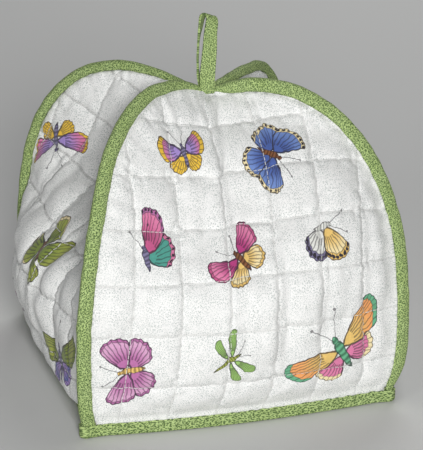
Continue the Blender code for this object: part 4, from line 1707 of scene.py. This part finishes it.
def bind_arch(arch, seed):
    name = "tape_" + arch + "_arch"
    first = float(PATTERN.share_at(HEM_STAND)) * TAPE_FOOT / HEM_STAND
    seam_line = ARCHES[arch].line(np.linspace(first, 2.0 - first, ARCH_SAMPLES))
    length = float(steps_between(seam_line).sum())
    stations = int(length / TAPE_STEP)
    mesh, i, j = grid_mesh(name, stations, TAPE_ACROSS + 1)
    run = first + (2.0 - 2.0 * first) * i / (stations - 1.0)
    u = 2.0 * j / TAPE_ACROSS - 1.0
    fold, out, across, depth = ARCHES[arch].frame(run)
    depth = depth[:, 0]
    pinch = depth / depth.max()
    # Two cut edges stand between the walls, with a gap between and outside them
    half = EDGE_THICKNESS + 1.5 * SEAM_CLEARANCE + STRIP_THICKNESS / 2.0
    wall = depth - LIP_BACK * pinch
    side, inward, down_wall, total = fold_in_half(u, half, wall, ARCH_FOLD_RADIUS)
    side += TAPE_ROLL * np.sin(np.pi * down_wall) * pinch - LIP_PRESS * ease(down_wall * 2.0 - 1.0)
    sign = np.sign(u)
    place = run * length
    stitched = near_stitching(u)
    # The two walls ripple apart from each other, so each has its own place in the waves
    side += SIDE_RIPPLE * waves(seed, place, sign * 7.0, *SIDE_RIPPLE_LENGTHS) * stitched
    inward += LIP_RIPPLE * waves(seed + 1, place, sign * 9.0, *LIP_RIPPLE_LENGTHS) * stitched
    inward += LONG_RIPPLE * waves(seed + 2, place, u * 3.0, *LONG_RIPPLE_LENGTHS)
    put_vertices(mesh, fold - out * inward[:, None] + across * (side * sign)[:, None])
    add_uv(mesh, "cut", place * MM / FLECK_STRETCH, (u + 1.0) * total * MM)
    tape = sew_on(name, mesh, "binding_" + arch + "_arch", STRIP_THICKNESS)
    width = 2.0 * float(total.mean())
    print(f"{tape.name}: strip {length:.0f} by {width:.0f} mm")
    return tape, length, width


TAPES = {arch: bind_arch(arch, seed) for arch, seed in ARCH_TAPE_SEEDS.items()}

# %% [markdown]
# ## The line of the hem
#
# The hem tape follows the raw lower edges of all four panels. At each corner the
# path goes through the foot of the standing seam, and the panels' own rows stop
# a little short of it, so that the tape turns in a small curve and not in a
# sharp point.

# %%
HEM_CORNER_KEEP = 9.0
HEM_PATH_STATIONS = 15
CORNER_ROUNDS = 3


def hem_path():
    """Plan of the hem's middle line from the front left corner, and its corners' places."""
    path = []
    corners = []
    share = float(PATTERN.share_at(HEM_STAND))
    reach = float(PATTERN.seam_half_width(HEM_STAND))
    keep = reach - HEM_CORNER_KEEP
    middle = np.linspace(-keep, keep, HEM_PATH_STATIONS)
    for side in SIDES:
        drape = Drape(side)
        has_corners = side in ("front", "back")
        stations = np.concatenate([[-reach], middle, [reach]]) if has_corners else middle
        row = drape.body(stations, np.zeros(len(stations)))[:, :2]
        if has_corners:
            row[0] = seam_edge(drape.left, share, 0.0)[0, :2]
            row[-1] = seam_edge(drape.right, share, 0.0)[0, :2]
            corners += [len(path), len(path) + len(row) - 1]
        path += list(row)
    return np.array(path), corners


def round_corners(plan):
    """Smooth a closed plan, whose last point is its first."""
    for _ in range(CORNER_ROUNDS):
        inner = plan[:-1]
        inner = (np.roll(inner, 1, axis=0) + 2.0 * inner + np.roll(inner, -1, axis=0)) / 4.0
        plan = np.vstack([inner, inner[:1]])
    return plan


def plan_normals(plan):
    """The way across a closed plan at each of its points."""
    around = plan[:-1]
    along = unit(np.roll(around, -1, axis=0) - np.roll(around, 1, axis=0))
    normal = np.column_stack([along[:, 1], -along[:, 0]])
    return np.vstack([normal, normal[:1]])


# %% [markdown]
# ## Tape round the hem
#
# One ring of the same tape folds over all four lower edges, and its fold is the
# flat edge that the cosy stands on. It is wider at the corners, where it wraps
# the feet of the seams too. Its ripples take a whole number of turns, so that
# the ring closes without a step.

# %%
HEM_STRIP_HEIGHT = 9.4
HEM_FOLD_RADIUS = 1.1
CORNER_SWELL = 1.7
CORNER_REACH = 7.0
HEM_RIPPLE = 0.16
HEM_RIPPLE_WAVES = 16
HEM_RIPPLE_PEAK = 2.8
SIDE_TURNS = (70, 190)
RISE_TURNS = (50, 150)
HEM_SEED = 97
CLOSING_GAP = 0.05


def hem_ripples(seed, round_trip, sign):
    """Ripples out to the side and up the wall, about -1 to 1."""
    rng = np.random.default_rng(seed)
    ripple = np.zeros(len(sign))
    rise = np.zeros(len(sign))
    for _ in range(HEM_RIPPLE_WAVES):
        turns = rng.integers(*SIDE_TURNS)
        phase = rng.uniform(0.0, 2.0 * np.pi, 2)
        ripple += np.sin(turns * round_trip + phase[0] + sign)
        turns = rng.integers(*RISE_TURNS)
        rise += np.sin(turns * round_trip + phase[1] + sign)
    return ripple / HEM_RIPPLE_PEAK, rise / HEM_RIPPLE_PEAK


def close_ring(mesh):
    bm = bmesh.new()
    bm.from_mesh(mesh)
    bmesh.ops.remove_doubles(bm, verts=bm.verts, dist=CLOSING_GAP * MM)
    bm.to_mesh(mesh)
    bm.free()


def bind_hem(seed):
    path, corners = hem_path()
    closed = np.vstack([path, path[:1]])
    at = lengths_along(closed)
    length = float(at[-1])
    stations = int(length / TAPE_STEP)
    station = np.linspace(0.0, length, stations)
    plan = round_corners(np.column_stack([np.interp(station, at, closed[:, k]) for k in (0, 1)]))
    normal = plan_normals(plan)
    mesh, i, j = grid_mesh("tape_hem", stations, TAPE_ACROSS + 1)
    u = 2.0 * j / TAPE_ACROSS - 1.0
    place = station[i]
    swell = np.zeros(len(u))
    for corner in at[corners]:
        away = np.abs(place - corner)
        swell += np.exp(-((np.minimum(away, length - away) / CORNER_REACH) ** 2))
    half = EDGE_THICKNESS / 2.0 + SEAM_CLEARANCE + STRIP_THICKNESS / 2.0 + CORNER_SWELL * swell
    wall = HEM_STRIP_HEIGHT - STRIP_THICKNESS / 2.0
    side, height, _, total = fold_in_half(u, half, wall, HEM_FOLD_RADIUS)
    sign = np.sign(u)
    stitched = near_stitching(u)
    ripple, rise = hem_ripples(seed, 2.0 * np.pi * place / length, sign)
    side += HEM_RIPPLE * ripple * stitched
    height += HEM_RIPPLE * rise * stitched
    across = (side * sign)[:, None] * normal[i]
    put_vertices(mesh, np.column_stack([plan[i] + across, height]))
    add_uv(mesh, "cut", place * MM / FLECK_STRETCH, (u + 1.0) * total * MM)
    close_ring(mesh)
    tape = sew_on("tape_hem", mesh, "hem_binding", STRIP_THICKNESS)
    width = 2.0 * float(total.mean())
    print(f"{tape.name}: strip {length:.0f} by {width:.0f} mm")
    return tape, length, width


HEM_TAPE, HEM_LENGTH, HEM_WIDTH = bind_hem(HEM_SEED)

# %% [markdown]
# ## The hanging loop
#
# A strip of the same green cloth, folded to half its width and stitched along
# both edges, stands up from the junction and comes down behind it. A plain tube
# would look like cord. A flat grid that turns as it comes down looks like tape,
# so each row of the table has its own half width, turn in degrees and tilt.

# %%
LOOP_COLUMNS = ("x", "y", "z", "half_width", "turn", "tilt")
LOOP = (
    (-3.0, -26.5, 212, 5.4, 0, 0.0),
    (-2.8, -26.2, 220, 5.6, 0, 0.0),
    (-2.0, -25.8, 232, 5.6, 0, -0.02),
    (-0.6, -25.6, 247, 5.2, 2, -0.05),
    (0.6, -25.2, 261, 4.8, 8, -0.2),
    (0.7, -22.8, 269, 4.7, 24, -0.4),
    (-1.8, -19.2, 269, 4.6, 44, -0.3),
    (-4.4, -16.0, 260, 4.8, 62, -0.1),
    (-5.8, -14.2, 247, 5.0, 70, 0.0),
    (-6.0, -13.8, 232, 5.2, 72, 0.0),
    (-5.2, -15.0, 212, 5.4, 70, 0.0),
)
LOOP_STRIP_THICKNESS = 1.6
LOOP_STATIONS = 110
LOOP_ACROSS = 16
LOOP_STRIP_WIDTH = 12.0
LOOP_WAVE, LOOP_WAVE_LENGTHS, LOOP_SEED = 0.25, (9.0, 30.0), 5


def make_loop():
    table = columns(LOOP, LOOP_COLUMNS)
    points = np.column_stack([table["x"], table["y"], table["z"]])
    at = lengths_along(points)
    line = curve_through(at, points)
    lay = curve_through(at, np.column_stack([table[k] for k in ("half_width", "turn", "tilt")]))
    mesh, i, j = grid_mesh("hanging_loop_strip", LOOP_STATIONS, LOOP_ACROSS + 1)
    place = at[-1] * i / (LOOP_STATIONS - 1.0)
    u = 2.0 * j / LOOP_ACROSS - 1.0
    along = unit(line(place + 0.5) - line(place - 0.5))
    half, turn, tilt = lay(place).T
    turn = np.radians(turn)
    wide = unit(np.column_stack([np.cos(turn), np.sin(turn), tilt]))
    wide = unit(wide - along * (wide * along).sum(axis=1, keepdims=True))
    thick = np.cross(along, wide)
    bend = LOOP_WAVE * waves(LOOP_SEED, place, u * 3.0, *LOOP_WAVE_LENGTHS)
    put_vertices(mesh, line(place) + wide * (u * half)[:, None] + thick * bend[:, None])
    add_uv(mesh, "cut", place * MM, (u + 1.0) * LOOP_STRIP_WIDTH / 2.0 * MM)
    loop = sew_on("hanging_loop_strip", mesh, "hanging_loop", LOOP_STRIP_THICKNESS)
    print(f"{loop.name}: {at[-1]:.0f} mm of strip")
    return loop, float(at[-1])


LOOP_PIECE, LOOP_LENGTH = make_loop()

# %% [markdown]
# ## What each cloth was cut to
#
# A sheet of cloth keeps the area it was cut to, however it hangs. The length of
# tape that was cut for the seams and the hem is added up and printed.

# %%
for tape, length, width in TAPES.values():
    width * MM
    length * MM
print(f"cut cloth: 4 panels, and {sum(row[1] for row in TAPES.values()) + HEM_LENGTH:.0f} mm of tape")

# %% [markdown]
# ## Studio: floor and light
#
# A plain pale floor shows the shadow that the cosy stands in. The key light from
# the front is fairly small, because a larger one would wash the puffs flat. A
# weak fill on the left keeps the side panel readable, and a light behind does
# the same for the back. An even dim room lifts the rest.

# %%
TARGET = np.array([-0.0028, -0.0125, 0.110])
FLOOR_HALF = 4.0
FLOOR_DROP = 0.0005
FLOOR_COLOUR = (0.62, 0.62, 0.61)
FLOOR_ROUGHNESS = 0.8
LAMP_COLUMNS = ("name", "place", "size", "power")
LAMPS = (
    ("key light", (-0.42, -2.0, 0.86), 0.4, 37.0),
    ("fill light", (-1.75, -1.10, 0.86), 0.6, 6.0),
    ("back light", (0.84, 1.46, 1.52), 1.0, 16.0),
)
ROOM_COLOUR = (0.94, 0.97, 1.0, 1.0)
ROOM_STRENGTH = 0.11


def lay_floor():
    bm = bmesh.new()
    bmesh.ops.create_grid(bm, x_segments=1, y_segments=1, size=FLOOR_HALF)
    mesh = bpy.data.meshes.new("studio_floor")
    bm.to_mesh(mesh)
    bm.free()
    floor = link("studio_floor", mesh)
    mesh.materials.append(plain("pale floor", FLOOR_COLOUR, FLOOR_ROUGHNESS))
    floor.location = (0.0, 0.0, -FLOOR_DROP)


def soft_light(name, place, size, power):
    data = bpy.data.lights.new(name, "AREA")
    data.energy = power
    data.size = size
    lamp = link(name, data)
    lamp.location = place
    lamp.rotation_euler = (Vector(TARGET) - Vector(place)).to_track_quat("-Z", "Y").to_euler()


lay_floor()
for lamp in LAMPS:
    soft_light(**dict(zip(LAMP_COLUMNS, lamp)))

scene = bpy.context.scene
scene.view_settings.view_transform = "Standard"
world = bpy.data.worlds.new("soft room")
scene.world = world
world.use_nodes = True
world.node_tree.nodes["Background"].inputs["Color"].default_value = ROOM_COLOUR
world.node_tree.nodes["Background"].inputs["Strength"].default_value = ROOM_STRENGTH
print("lamps:", [lamp[0] for lamp in LAMPS])

# %% [markdown]
# ## Camera
#
# A person who looks down at a table sees the cosy from a little above, and from
# the left of its front. The camera looks along that line from almost two metres
# away, so that the near corner isn't stretched, and a long lens brings the cosy
# close again.

# %%
VIEW_TURN = np.radians(17.0)
VIEW_DOWN = np.radians(20.0)
FORWARD = np.array([
    np.cos(VIEW_DOWN) * np.sin(VIEW_TURN),
    np.cos(VIEW_DOWN) * np.cos(VIEW_TURN),
    -np.sin(VIEW_DOWN),
])
DISTANCE = 1.90
SENSOR = 36.0
FOCAL_PIXELS = 2560.0
PICTURE_WIDTH = 423.0
LENS_SHIFT = (0.0085, -0.0071)


def place_camera():
    data = bpy.data.cameras.new("camera")
    data.sensor_width = SENSOR
    data.sensor_fit = "HORIZONTAL"
    data.lens = SENSOR * FOCAL_PIXELS / PICTURE_WIDTH
    data.shift_x, data.shift_y = LENS_SHIFT
    camera = link("camera", data)
    camera.location = Vector(TARGET - FORWARD * DISTANCE)
    camera.rotation_euler = Vector(FORWARD).to_track_quat("-Z", "Y").to_euler()
    return camera


scene.camera = place_camera()
print(f"camera {DISTANCE:.1f} m away, lens {scene.camera.data.lens:.0f} mm")

# %%
bpy.context.view_layer.update()
